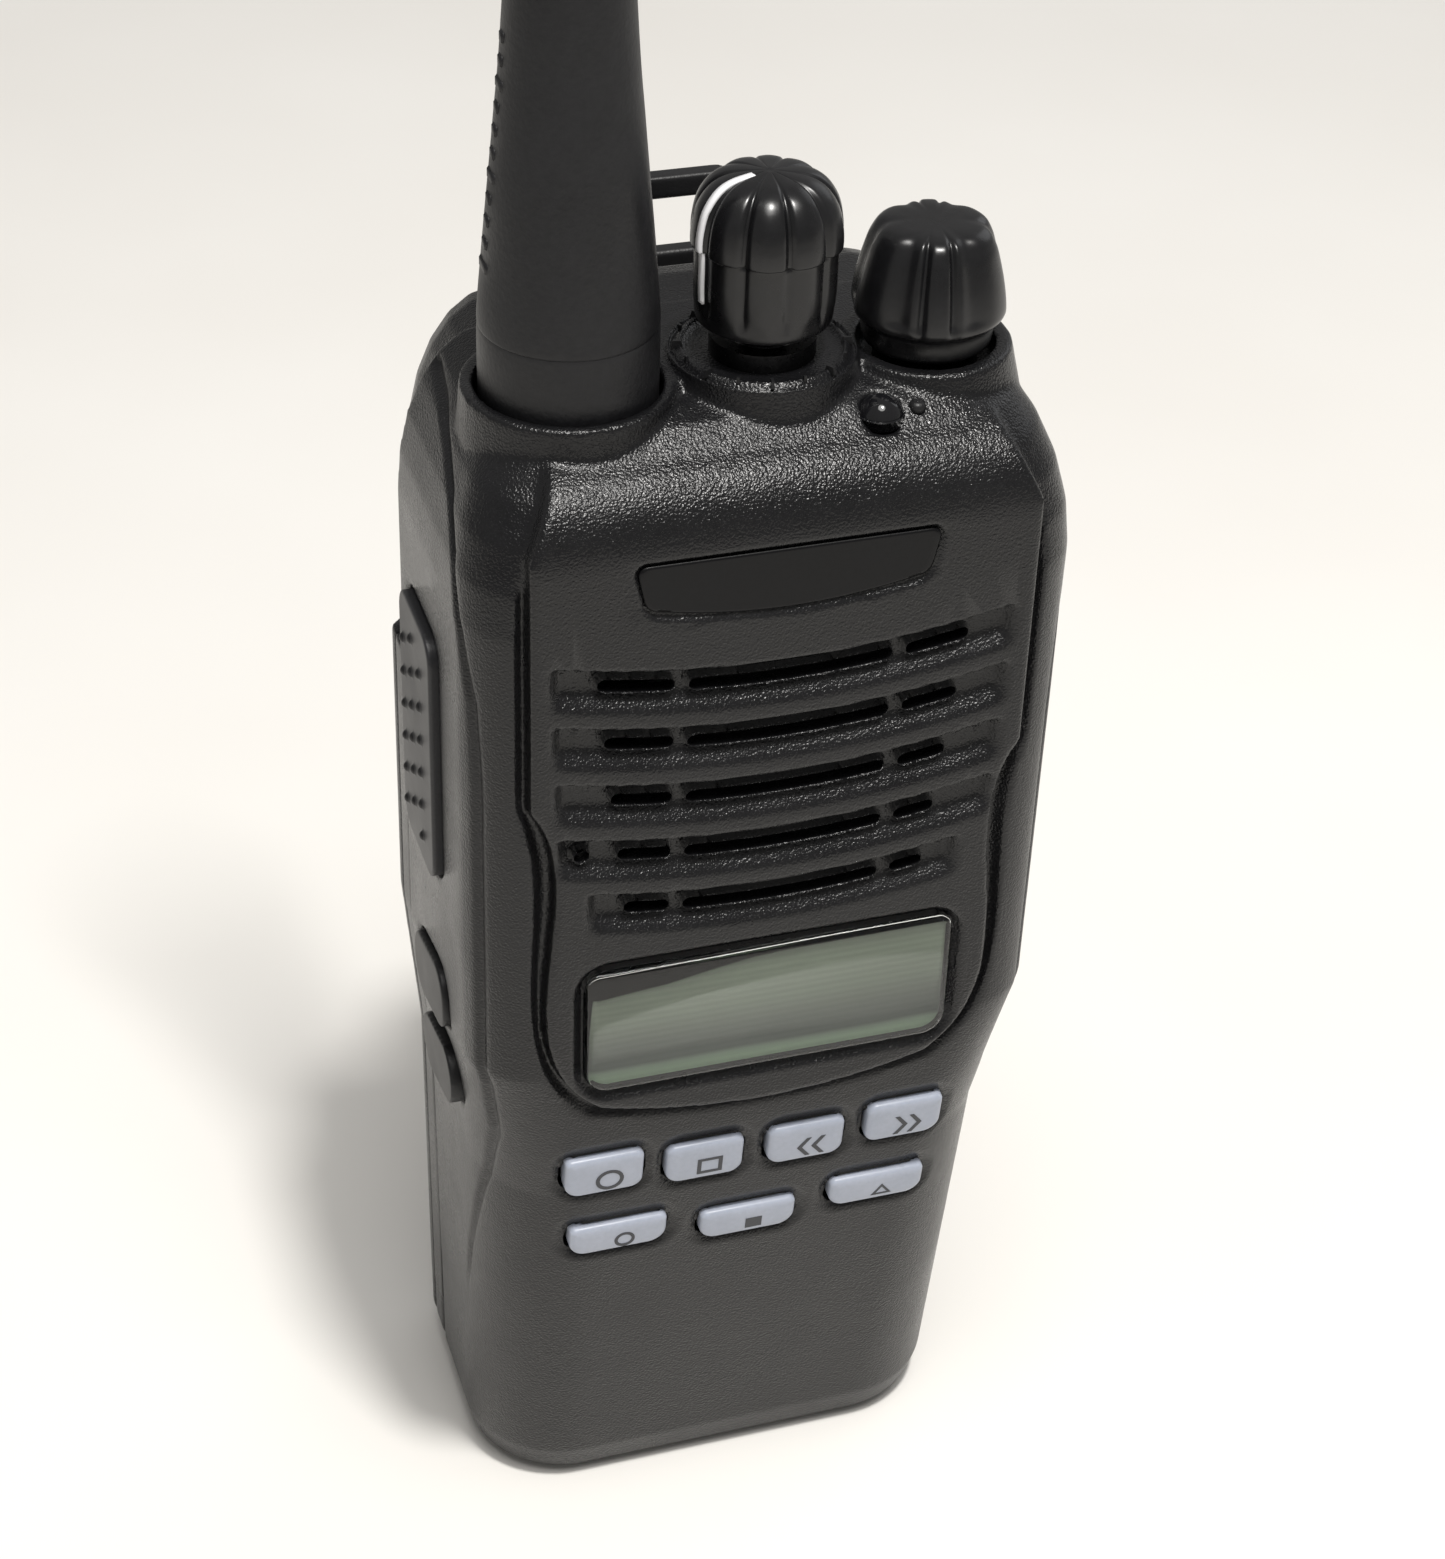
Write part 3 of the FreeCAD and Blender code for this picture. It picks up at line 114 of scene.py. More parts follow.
def bump(tree, shader, heights, depth_mm):
    """Adds height noises one after another as bump. heights are (value, strength, share of depth)."""
    normal = None
    for value, strength, depth in heights:
        element = tree.nodes.new("ShaderNodeBump")
        element.inputs["Strength"].default_value = strength
        element.inputs["Distance"].default_value = depth * depth_mm * MM
        tree.links.new(value, element.inputs["Height"])
        if normal is not None:
            tree.links.new(normal, element.inputs["Normal"])
        normal = element.outputs["Normal"]
    tree.links.new(normal, shader.inputs["Normal"])


def worn(tree, coord, colour, lighter, grain_mm, patch_mm):
    """Base colour that varies with a fine grain and with larger handled patches."""
    fine = noise(tree, coord, grain_mm, 3.0, 0.6)
    broad = noise(tree, coord, patch_mm, 4.0, 0.6)
    mix = tree.nodes.new("ShaderNodeMath")
    mix.operation = "MULTIPLY_ADD"
    mix.inputs[1].default_value = FINE_SHARE
    tree.links.new(fine, mix.inputs[0])
    half = tree.nodes.new("ShaderNodeMath")
    half.operation = "MULTIPLY"
    half.inputs[1].default_value = 1 - FINE_SHARE
    tree.links.new(broad, half.inputs[0])
    tree.links.new(half.outputs[0], mix.inputs[2])
    return ramp(tree, mix.outputs[0], 0.3, 0.72, colour, lighter), fine, broad


def moulded(name, colour, lighter, rough=(0.38, 0.55), grain_mm=0.22, depth=0.05, strength=0.6,
            specular=0.5, patch_mm=14.0):
    """Moulded plastic or rubber with a spark-eroded grain."""
    mat, tree, shader, coord = node_tree(name)
    tint, _, broad = worn(tree, coord, colour, lighter, grain_mm * 1.7, patch_mm)
    tree.links.new(tint, shader.inputs["Base Color"])
    tree.links.new(spread(tree, broad, 0.3, 0.7, *rough), shader.inputs["Roughness"])
    grain = noise(tree, coord, grain_mm, 1.0, 0.5)
    bump(tree, shader, [(grain, strength, 1.0), (noise(tree, coord, 3.5, 2.0), 0.25, 0.6)], depth)
    shader.inputs["Specular IOR Level"].default_value = specular
    return mat


def metal(name, colour, lighter, rough=(0.25, 0.42)):
    """Bare metal with a fine uneven finish."""
    mat, tree, shader, coord = node_tree(name)
    tint, fine, _ = worn(tree, coord, colour, lighter, 0.3, 6.0)
    tree.links.new(tint, shader.inputs["Base Color"])
    tree.links.new(spread(tree, fine, 0.3, 0.7, *rough), shader.inputs["Roughness"])
    bump(tree, shader, [(fine, 0.25, 1.0)], 0.02)
    shader.inputs["Metallic"].default_value = 1.0
    return mat


def clear(name, tint, rough):
    """Clear moulded window with faint smears."""
    mat, tree, shader, coord = node_tree(name)
    shader.inputs["Base Color"].default_value = (*tint, 1)
    smear = noise(tree, coord, 7.0, 5.0, 0.65)
    tree.links.new(spread(tree, smear, 0.45, 0.75, rough, rough + 0.05), shader.inputs["Roughness"])
    bump(tree, shader, [(noise(tree, coord, 9.0, 1.0), 0.08, 1.0)], 0.02)
    shader.inputs["Transmission Weight"].default_value = 1.0
    shader.inputs["IOR"].default_value = ACRYLIC_IOR
    return mat


def display_with_painted_light():
    """Grey-green reflective display coloured by height: paler towards the top, a painted shadow band low
    down, a painted bright line along the lower edge.
    """
    mat, tree, shader, coord = node_tree("display_film")
    low, high = box_mm("lcd_module")
    split = tree.nodes.new("ShaderNodeSeparateXYZ")
    tree.links.new(coord, split.inputs["Vector"])
    rise = spread(tree, split.outputs["Z"], low[2] * MM, high[2] * MM, 0.0, 1.0)
    cloud = noise(tree, coord, 9.0, 3.0, 0.5)
    rows = tree.nodes.new("ShaderNodeTexWave")
    rows.bands_direction = "Z"
    rows.inputs["Scale"].default_value = 1.0 / (DISPLAY_ROW * MM)
    rows.inputs["Distortion"].default_value = 0.0
    tree.links.new(coord, rows.inputs["Vector"])
    blur = tree.nodes.new("ShaderNodeMath")
    blur.operation = "MULTIPLY_ADD"
    blur.inputs[1].default_value = 0.05
    tree.links.new(cloud, blur.inputs[0])
    tree.links.new(rise, blur.inputs[2])
    # stops by height: a painted bright line at the lower edge, a painted shadow band just above it, then
    # paler towards the top
    shade = tree.nodes.new("ShaderNodeValToRGB")
    stops = shade.color_ramp
    stops.elements[0].position = 0.02
    stops.elements[0].color = (0.36, 0.50, 0.33, 1)
    stops.elements[1].position = 1.0
    stops.elements[1].color = (0.27, 0.31, 0.24, 1)
    for place, colour in ((0.10, (0.30, 0.40, 0.28)), (0.16, (0.10, 0.115, 0.10)),
                          (0.34, (0.15, 0.17, 0.14)), (0.55, (0.25, 0.29, 0.22)),
                          (0.85, (0.30, 0.345, 0.26))):
        stop = stops.elements.new(place)
        stop.color = (*colour, 1)
    tree.links.new(blur.outputs[0], shade.inputs["Fac"])
    mix = tree.nodes.new("ShaderNodeMixRGB")
    mix.blend_type = "MULTIPLY"
    mix.inputs["Fac"].default_value = 0.10
    tree.links.new(shade.outputs["Color"], mix.inputs["Color1"])
    tree.links.new(rows.outputs["Color"], mix.inputs["Color2"])
    tree.links.new(mix.outputs["Color"], shader.inputs["Base Color"])
    tree.links.new(spread(tree, cloud, 0.3, 0.7, 0.35, 0.5), shader.inputs["Roughness"])
    bump(tree, shader, [(noise(tree, coord, 0.15, 1.0), 0.2, 1.0)], 0.01)
    return mat


def translucent_key():
    """Pale blue-grey resin that lets a little light in."""
    mat, tree, shader, coord = node_tree("key_resin")
    tint, fine, _ = worn(tree, coord, (0.33, 0.36, 0.43), (0.41, 0.44, 0.52), 0.5, 5.0)
    tree.links.new(tint, shader.inputs["Base Color"])
    tree.links.new(spread(tree, fine, 0.3, 0.7, 0.3, 0.42), shader.inputs["Roughness"])
    bump(tree, shader, [(noise(tree, coord, 0.3, 1.0), 0.15, 1.0)], 0.02)
    shader.inputs["Subsurface Weight"].default_value = 0.25
    shader.inputs["Subsurface Scale"].default_value = 0.0012
    shader.inputs["Subsurface Radius"].default_value = (0.8, 0.9, 1.0)
    return mat


M = {
    "case": moulded("case_texture", (0.0035, 0.0035, 0.0040), (0.0080, 0.0080, 0.0090),
                    rough=(0.22, 0.36), grain_mm=0.22, depth=0.095, strength=1.0, specular=0.37),
    "case_fine": moulded("case_fine_texture", (0.006, 0.006, 0.0066), (0.011, 0.011, 0.012),
                         rough=(0.36, 0.50), grain_mm=0.18, depth=0.04, specular=0.4),
    "knob": moulded("knob_semi_gloss", (0.0035, 0.0035, 0.004), (0.008, 0.008, 0.009),
                    rough=(0.22, 0.34), grain_mm=0.5, depth=0.02, strength=0.25, patch_mm=7.0,
                    specular=0.45),
    "whip": moulded("whip_rubber", (0.006, 0.006, 0.007), (0.013, 0.013, 0.0145),
                    rough=(0.36, 0.56), grain_mm=0.45, depth=0.06, strength=0.5, patch_mm=10.0,
                    specular=0.33),
    "rubber": moulded("soft_rubber", (0.005, 0.005, 0.0055), (0.010, 0.010, 0.011),
                      rough=(0.40, 0.55), grain_mm=0.2, depth=0.02, specular=0.42),
    "ptt": moulded("ptt_rubber", (0.018, 0.018, 0.020), (0.032, 0.032, 0.035),
                   rough=(0.40, 0.52), grain_mm=0.2, depth=0.02, specular=0.42),
    "plate": moulded("plate_gloss", (0.002, 0.002, 0.0024), (0.004, 0.004, 0.0048),
                     rough=(0.30, 0.42), grain_mm=0.3, depth=0.02, strength=0.3, specular=0.2),
    "ink": moulded("legend_ink", (0.018, 0.020, 0.026), (0.030, 0.032, 0.040),
                   rough=(0.4, 0.5), grain_mm=0.3, depth=0.01),
    "white": moulded("pointer_paint", (0.74, 0.74, 0.76), (0.86, 0.86, 0.88),
                     rough=(0.35, 0.5), grain_mm=0.4, depth=0.01),
    "felt": moulded("felt", (0.008, 0.008, 0.008), (0.02, 0.02, 0.02),
                    rough=(0.8, 0.95), grain_mm=0.3, depth=0.1),
    "board": moulded("solder_mask", (0.02, 0.10, 0.04), (0.03, 0.15, 0.07),
                     rough=(0.3, 0.4), grain_mm=0.6, depth=0.01),
    "cell": moulded("cell_wrap", (0.04, 0.10, 0.28), (0.06, 0.14, 0.34),
                    rough=(0.3, 0.45), grain_mm=0.8, depth=0.02),
    "steel": metal("satin_steel", (0.50, 0.50, 0.50), (0.66, 0.66, 0.65)),
    "alloy": metal("cast_alloy", (0.52, 0.52, 0.53), (0.66, 0.66, 0.67), rough=(0.4, 0.55)),
    "brass": metal("brass", (0.62, 0.45, 0.19), (0.78, 0.60, 0.28)),
    "lens": clear("display_glass", (0.93, 0.96, 0.95), 0.01),
    "lamp": moulded("lamp_dome", (0.004, 0.004, 0.005), (0.008, 0.008, 0.009),
                    rough=(0.06, 0.12), grain_mm=0.5, depth=0.004, strength=0.15, specular=0.5),
    # near-black steel: painted shade for the nuts and shafts in the knobs' necks
    "dark_steel": metal("steel_darkened_as_painted_shade", (0.030, 0.030, 0.032), (0.050, 0.050, 0.052)),
    "display": display_with_painted_light(),
    "key": translucent_key(),
}
SLOT_FINISH = {"case_black": "case", "knob_black": "knob", "rubber_black": "rubber",
               "ptt_grey": "ptt", "key_grey": "key", "lens_clear": "lens",
               "display_green": "display", "plate_black": "plate", "board_green": "board",
               "chassis_alloy": "alloy", "felt_black": "felt", "pointer_white": "white",
               "steel": "steel", "brass": "brass", "contact_black": "case_fine",
               "cell_wrap": "cell"}
slot_of = {row["node"]: row["material_slot"] for row in frame["record"]["subparts"]}
# the nuts and shafts under the knobs are darkened to near-black steel as painted shade in the knobs'
# necks
NECK_PARTS_IN_PAINTED_SHADE = ("channel_nut", "volume_nut", "channel_shaft", "volume_shaft")
for node_name, obj in nodes.items():
    obj.data.materials.clear()
    finish = "dark_steel" if node_name in NECK_PARTS_IN_PAINTED_SHADE else SLOT_FINISH[slot_of[node_name]]
    obj.data.materials.append(M[finish])


# ---- mesh helpers ------------------------------------------------------------------
def new_object(name, points, faces, material, smooth=True):
    """Object from points in millimetres."""
    mesh = bpy.data.meshes.new(name)
    mesh.from_pydata([tuple(float(c) * MM for c in p) for p in points], [], faces)
    shell = bmesh.new()
    shell.from_mesh(mesh)
    bmesh.ops.recalc_face_normals(shell, faces=shell.faces)
    shell.to_mesh(mesh)
    shell.free()
    mesh.update()
    obj = bpy.data.objects.new(name, mesh)
    bpy.context.scene.collection.objects.link(obj)
    mesh.materials.append(M[material])
    if smooth:
        mesh.polygons.foreach_set("use_smooth", [True] * len(mesh.polygons))
    return obj


def settle(obj, body, slot, *replaced):
    """Declares what the piece rides on and what it stands for; slot, its finish, is not used."""
    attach(obj, body)
    if replaced:
        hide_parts(*replaced)
    return obj


def apply_modifiers(obj):
    graph = bpy.context.evaluated_depsgraph_get()
    mesh = bpy.data.meshes.new_from_object(obj.evaluated_get(graph))
    old = obj.data
    obj.modifiers.clear()
    obj.data = mesh
    bpy.data.meshes.remove(old)


def positions(mesh):
    co = np.empty(len(mesh.vertices) * 3)
    mesh.vertices.foreach_get("co", co)
    return co.reshape(-1, 3)


def normals(mesh):
    no = np.empty(len(mesh.vertices) * 3)
    mesh.vertices.foreach_get("normal", no)
    return no.reshape(-1, 3)


def smoothstep(low, high, value):
    t = np.clip((value - low) / (high - low), 0, 1)
    return t * t * (3 - 2 * t)


def cast(name, node, voxel, passes, keep, material, shape_more=None):
    """A moulded copy of a CAD node: even mesh, softened edges, then finer relief."""
    obj = bpy.data.objects.new(name, nodes[node].data.copy())
    bpy.context.scene.collection.objects.link(obj)
    obj.data.transform(Matrix.Scale(1 / MM, 4))
    remesh = obj.modifiers.new("remesh", "REMESH")
    remesh.mode = "VOXEL"
    remesh.voxel_size = voxel
    remesh.adaptivity = 0.0
    soften = obj.modifiers.new("soften", "SMOOTH")
    soften.factor = 0.5
    soften.iterations = passes
    apply_modifiers(obj)
    if shape_more:
        co, no = positions(obj.data), normals(obj.data)
        co = shape_more(co, no)
        obj.data.vertices.foreach_set("co", co.ravel())
        obj.data.update()
    if keep < 1:
        thin = obj.modifiers.new("thin", "DECIMATE")
        thin.ratio = keep
        apply_modifiers(obj)
    obj.data.transform(Matrix.Scale(MM, 4))
    obj.data.polygons.foreach_set("use_smooth", [True] * len(obj.data.polygons))
    obj.data.update()
    obj.data.materials.clear()
    obj.data.materials.append(M[material])
    return obj


def tilted(points, origin, angle):
    """Points turned about the line through origin that runs along X."""
    out = []
    for px, py, pz in points:
        y, z = py - origin[1], pz - origin[2]
        out.append((px, origin[1] + y * math.cos(angle) - z * math.sin(angle),
                    origin[2] + y * math.sin(angle) + z * math.cos(angle)))
    return out


def lathe(name, x, y, profile, material, segments, shape_radius=None):
    """Surface of revolution about the vertical through (x, y). shape_radius(angle, r, z)
    may change the radius."""
    points, faces = [], []
    count = len(profile)
    for r, z in profile:
        for j in range(segments):
            a = 2 * math.pi * j / segments
            rr = shape_radius(a, r, z) if shape_radius else r
            points.append((x + rr * math.cos(a), y + rr * math.sin(a), z))
    for i in range(count - 1):
        for j in range(segments):
            k = (j + 1) % segments
            a, b = i * segments + j, i * segments + k
            faces.append((a, b, b + segments, a + segments))
    faces.append(tuple(reversed(range(segments))))
    faces.append(tuple(range((count - 1) * segments, count * segments)))
    return new_object(name, points, faces, material)


def smooth_profile(points, steps):
    """Catmull-Rom curve through (radius, height) points."""
    p = [np.array(q, float) for q in points]
    p = [2 * p[0] - p[1]] + p + [2 * p[-1] - p[-2]]
    out = []
    for i in range(1, len(p) - 2):
        for s in range(steps):
            t = s / steps
            out.append(0.5 * ((2 * p[i]) + (p[i + 1] - p[i - 1]) * t
                              + (2 * p[i - 1] - 5 * p[i] + 4 * p[i + 1] - p[i + 2]) * t * t
                              + (3 * p[i] - p[i - 1] - 3 * p[i + 1] + p[i + 2]) * t ** 3))
    out.append(p[-2])
    return [(max(float(q[0]), 0.02), float(q[1])) for q in out]


# ---- front case --------------------------------------------------------------------
FRONT = box_mm("lcd_lens")[0][1] + 0.3         # front of the raised panel
LENS = middle("lcd_lens")
LENS_SIZE = box_mm("lcd_lens")[1] - box_mm("lcd_lens")[0]
PLATE = middle("name_plate")
ISLAND_TOP = PLATE[2] + 2.4                    # where the panel starts to curve back
ISLAND_RADIUS = 7.6                            # of that curve
PANEL_HALF = 21.3
PANEL_LOW, PANEL_HIGH = 58, 119                # between them the relief is cut
KEYS_HIGH = 53                                 # top of the key field
KEY_NODES = [n for n in nodes if n.startswith("key_")]

# grille: curved slots, each in a shallow scoop
SLOT_TOP = 102.0
SLOT_PITCH = 5.8
SLOTS = 5
SLOT_BEND = 89.0
SCOOP_DEPTH = 1.2
SCOOP_RISE = 0.4                               # of the scoop's middle above its slot
SCOOP_REACH = 20.9
SCOOP_END = 1.6                                # length over which a scoop runs out
SCOOP_TAPER = 0.2                              # each scoop is shorter by this than the one above
LAST_SCOOP_SHORTER = 2.6

# name plate: straight top, bowed foot, leaning ends
PLATE_HALF = 13.4
PLATE_RISE = 2.7
PLATE_DROP = 2.0
PLATE_BOW = 1.25
PLATE_LEAN = 0.22
PLATE_WIDEST = 2.6
PLATE_CORNER = 1.0
POCKET_CORNER = 1.1
POCKET_DEPTH = 0.42

FRAME_DEPTH = 0.75                             # step round the display
FRAME_CORNER = 2.2
WELL_DEPTH = 0.35                              # hollow round each key
WELL_CORNER = 1.6
KEY_FLANGE = 0.7                               # hidden rim of each key, beyond its cap

KNOB_X = middle("channel_knob")[0]
BEZEL_TOP = box_mm("channel_nut")[0][2] + 1.2
BEZEL_FALL = 1.3
BEZEL_INNER, BEZEL_OUTER = 6.4, 7.9            # the rim falls away between these radii

# the seam between the front case and the back, on either side, as (y, z)
SEAM = [(12.0, 121.6), (7.0, 120.8), (2.0, 119.2), (-2.5, 117.3), (-6.5, 114.0), (-9.3, 108.5),
        (-10.8, 102.0), (-11.2, 94.0), (-11.0, 60.0), (-9.6, 53.0), (-5.0, 42.0), (-1.2, 31.0),
        (0.4, 24.0)]
SEAM_DEPTH = 0.5
SEAM_WIDTH = 0.42
SEAM_FADE = 22, 30                             # heights between which the seam appears


def rounded_distance(u, v, half_u, half_v, radius):
    """Signed distance to a rounded rectangle, negative inside."""
    qu = np.abs(u) - (half_u - radius)
    qv = np.abs(v) - (half_v - radius)
    outside = np.hypot(np.maximum(qu, 0), np.maximum(qv, 0))
    return outside + np.minimum(np.maximum(qu, qv), 0) - radius


def seam_distance(y, z):
    best = np.full(len(y), 1e9)
    for (y0, z0), (y1, z1) in zip(SEAM[:-1], SEAM[1:]):
        dy, dz = y1 - y0, z1 - z0
        t = np.clip(((y - y0) * dy + (z - z0) * dz) / (dy * dy + dz * dz), 0, 1)
        best = np.minimum(best, np.hypot(y - y0 - t * dy, z - z0 - t * dz))
    return best


def plate_distance(u, v):
    """Signed distance to the name plate's outline, negative inside."""
    foot = -PLATE_DROP - PLATE_BOW * (1 - (u / PLATE_HALF) ** 2)
    sides = np.abs(u) - (PLATE_HALF + PLATE_LEAN * (v - PLATE_WIDEST)) + POCKET_CORNER
    level = np.maximum(v - PLATE_RISE, foot - v) + POCKET_CORNER
    outside = np.hypot(np.maximum(sides, 0), np.maximum(level, 0))
    return outside + np.minimum(np.maximum(sides, level), 0) - POCKET_CORNER


def grille_depth(x, z):
    depth = np.zeros(len(x))
    for i in range(SLOTS):
        v = z - (SLOT_TOP + SCOOP_RISE - i * SLOT_PITCH) - x * x / (2 * SLOT_BEND)
        reach = SCOOP_REACH - (LAST_SCOOP_SHORTER if i == SLOTS - 1 else 0.0) - SCOOP_TAPER * i
        ends = 1 - smoothstep(reach - SCOOP_END, reach, np.abs(x))
        scoop = np.where(v > 0, 1 - smoothstep(1.35, 2.0, v), 1 - smoothstep(0.5, 2.6, -v))
        depth = np.maximum(depth, SCOOP_DEPTH * scoop * ends)
    return depth


def well_depth(x, z):
    wells = np.zeros(len(x))
    for key in KEY_NODES:
        low, high = box_mm(key)
        half = (high - low) / 2 - KEY_FLANGE
        centre = (high + low) / 2
        gap = rounded_distance(x - centre[0], z - centre[2], half[0], half[2], WELL_CORNER)
        wells = np.maximum(wells, WELL_DEPTH * (1 - smoothstep(0.4, 1.6, gap)))
    return wells


def case_relief(co, no):
    """Name plate pocket, grille scoops, display frame, key wells, knob bezel and side seams.
    x, y and z are views, so each cut starts from the one before."""
    x, y, z = co.T
    front = (no[:, 1] < -0.35) & (y < -4)
    panel = front & (np.abs(x) < PANEL_HALF) & (z > PANEL_LOW) & (z < PANEL_HIGH)
    depth = grille_depth(x, z)
    pocket = front & (np.abs(x) < 15) & (np.abs(z - PLATE[2]) < 4.3) & (y < FRONT + 0.8)
    arch = np.maximum(z - ISLAND_TOP, 0) ** 2 / (2 * ISLAND_RADIUS)
    inside = 1 - smoothstep(0.0, 0.35, plate_distance(x, z - PLATE[2]))
    co[pocket, 1] = (FRONT + arch + POCKET_DEPTH * inside)[pocket]
    frame_gap = rounded_distance(x - LENS[0], z - LENS[2], LENS_SIZE[0] / 2, LENS_SIZE[2] / 2,
                                 FRAME_CORNER)
    depth = np.maximum(depth, FRAME_DEPTH * (1 - smoothstep(0.5, 1.3, frame_gap)))
    co[panel, 1] += depth[panel]
    key_field = front & (z < KEYS_HIGH)
    co[key_field, 1] += well_depth(x, z)[key_field]
    ring = np.hypot(x - KNOB_X, y)
    sloped = (z > BEZEL_TOP - 1.0) & (ring > BEZEL_INNER - 0.2) & (ring < BEZEL_OUTER + 0.3)
    fall = BEZEL_FALL * smoothstep(BEZEL_INNER, BEZEL_OUTER, ring)
    co[sloped, 2] -= (fall * smoothstep(-1.0, -0.1, z - BEZEL_TOP))[sloped]
    side = (np.abs(no[:, 0]) > 0.25) & (np.sign(no[:, 0]) == np.sign(x)) & (np.abs(x) > 17)
    groove = SEAM_DEPTH * np.exp(-(seam_distance(y, z) / SEAM_WIDTH) ** 2) * smoothstep(*SEAM_FADE, z)
    co[side] -= no[side] * groove[side, None]
    return co


settle(cast("moulded_case", "front_case", 0.32, 5, 0.5, "case", case_relief),
       "radio", "case_black", "front_case")


# ---- antenna -----------------------------------------------------------------------
ANT = middle("antenna_sheath")
SEAM_Z = box_mm("antenna_sheath")[0][2]
TIP_Z = box_mm("antenna_sheath")[1][2]
ANT_R = (box_mm("antenna_base")[1][0] - box_mm("antenna_base")[0][0]) / 2


BARS = 11                      # raised bars on the antenna's left flank
BAR_PITCH = 1.9
BARS_ABOVE_SEAM = 5.5
BAR_HALF_ANGLE = 0.11
LONG_BAR_HALF_ANGLE = 0.2      # every fourth bar


def build_antenna():
    flare = smooth_profile([(ANT_R - 0.25, SEAM_Z + 0.02), (ANT_R - 0.02, SEAM_Z + 0.5),
                            (ANT_R * 0.925, SEAM_Z + 7), (ANT_R * 0.80, SEAM_Z + 17),
                            (ANT_R * 0.70, SEAM_Z + 26), (ANT_R * 0.52, SEAM_Z + 50),
                            (ANT_R * 0.45, SEAM_Z + 85), (3.1, TIP_Z - 3.2),
                            (2.4, TIP_Z - 1.1), (1.2, TIP_Z - 0.25), (0.05, TIP_Z - 0.02)], 8)
    flare = [(r, min(z, TIP_Z - 0.02)) for r, z in flare]
    whip = lathe("antenna_whip", ANT[0], ANT[1], flare, "whip", 80)
    settle(whip, "antenna", "rubber_black", "antenna_sheath")
    low, high = box_mm("antenna_base")
    base = smooth_profile([(ANT_R - 0.55, low[2] + 0.02), (ANT_R - 0.08, low[2] + 0.6),
                           (ANT_R - 0.02, low[2] + 2), (ANT_R - 0.02, high[2] - 0.55),
                           (ANT_R - 0.28, high[2] - 0.02)], 5)
    foot = lathe("antenna_foot", ANT[0], ANT[1], base, "whip", 80)
    settle(foot, "antenna", "rubber_black", "antenna_base")
    points, faces = [], []
    for i in range(BARS):
        z = SEAM_Z + BARS_ABOVE_SEAM + i * BAR_PITCH
        r = float(np.interp(z, [p[1] for p in flare], [p[0] for p in flare]))
        wide = BAR_HALF_ANGLE if i % 4 else LONG_BAR_HALF_ANGLE
        add_patch(points, faces, ANT[0], ANT[1], math.pi, wide, z, 0.55, r - 0.15, r + 0.16)
    settle(new_object("antenna_bars", points, faces, "whip"), "antenna", "rubber_black")


def add_patch(points, faces, x, y, angle, wide, z, half_z, r0, r1):
    """Small raised bar on a cylinder, with a narrower top."""
    start = len(points)
    for r, shrink in ((r0, 1.0), (r1, 0.6)):
        for dz in (-half_z * shrink, half_z * shrink):
            for da in (-wide * shrink, wide * shrink):
                points.append((x + r * math.cos(angle + da), y + r * math.sin(angle + da), z + dz))
    for quad in ((4, 5, 7, 6), (0, 1, 5, 4), (1, 3, 7, 5), (3, 2, 6, 7), (2, 0, 4, 6), (0, 2, 3, 1)):
        faces.append(tuple(start + k for k in quad))


build_antenna()


# ---- knobs -------------------------------------------------------------------------
SKIN = 0.02                    # the knobs stay this far inside their CAD pieces
PETALS = 10                    # ribs round the channel knob
PETAL_CUT = 0.5                # deeper above the knob's step
LOWER_PETAL_CUT = 0.2
PETAL_LOBE = 0.10
STEP_UP = 0.525, 0.545         # where the channel knob steps out, as parts of its height
INDEX_ANGLE = 191              # of the white line on the channel knob
INDEX_HALF = 0.34
INDEX_DEPTH = 0.45
FINGERS = 6                    # hollows round the volume knob
FINGER_ANGLE = -104            # of the first ridge
FINGER_HOLLOW = 0.55
RIDGE_CUT = 0.6                # grooves beside two opposite ridges
RIDGE_HALF = 0.22


def groove_at(angle, centre, width):
    """1 at the centre of a groove that runs at that angle, falling to 0 away from it."""
    d = (angle - centre + math.pi) % (2 * math.pi) - math.pi
    return math.exp(-(d / width) ** 2)


def knob_frame(node):
    """Axis, largest radius, foot and top that a knob's surface is built to."""
    low, high = box_mm(node)
    return middle(node)[0], (high[0] - low[0]) / 2 - SKIN, low[2] + SKIN, high[2] - SKIN


def build_channel_knob():
    x, r, z0, z1 = knob_frame("channel_knob")
    tall = z1 - z0
    profile = smooth_profile([(r - 1.0, z0), (r - 0.62, z0 + 0.25), (r - 0.46, z0 + 1.4),
                              (r - 0.34, z0 + 3.4), (r - 0.3, z0 + tall * STEP_UP[0]),
                              (r, z0 + tall * STEP_UP[1]), (r - 0.06, z0 + tall * 0.66),
                              (r - 0.5, z0 + tall * 0.80), (r - 1.6, z0 + tall * 0.92),
                              (r - 3.1, z1 - 0.28), (0.9, z1), (0.05, z1)], 7)

    def ribbed(angle, radius, z):
        up = (z - z0) / tall
        cut = max(groove_at(angle, 2 * math.pi * (i + 0.5) / PETALS, 0.055) for i in range(PETALS))
        depth = PETAL_CUT if up > 0.53 else LOWER_PETAL_CUT
        ends = min(1.0, max(0.0, (up - 0.06) / 0.1))
        apex = min(1.0, radius / 2.2)
        lobe = PETAL_LOBE * math.cos(PETALS * angle) * ends * apex
        return max(0.02, radius - depth * cut * ends * apex + lobe - PETAL_LOBE * apex)

    knob = lathe("channel_grip", x, 0.0, profile, "knob", 200, ribbed)
    settle(knob, "channel_knob", "knob_black", "channel_knob")
    build_index(x, z0, tall, profile)


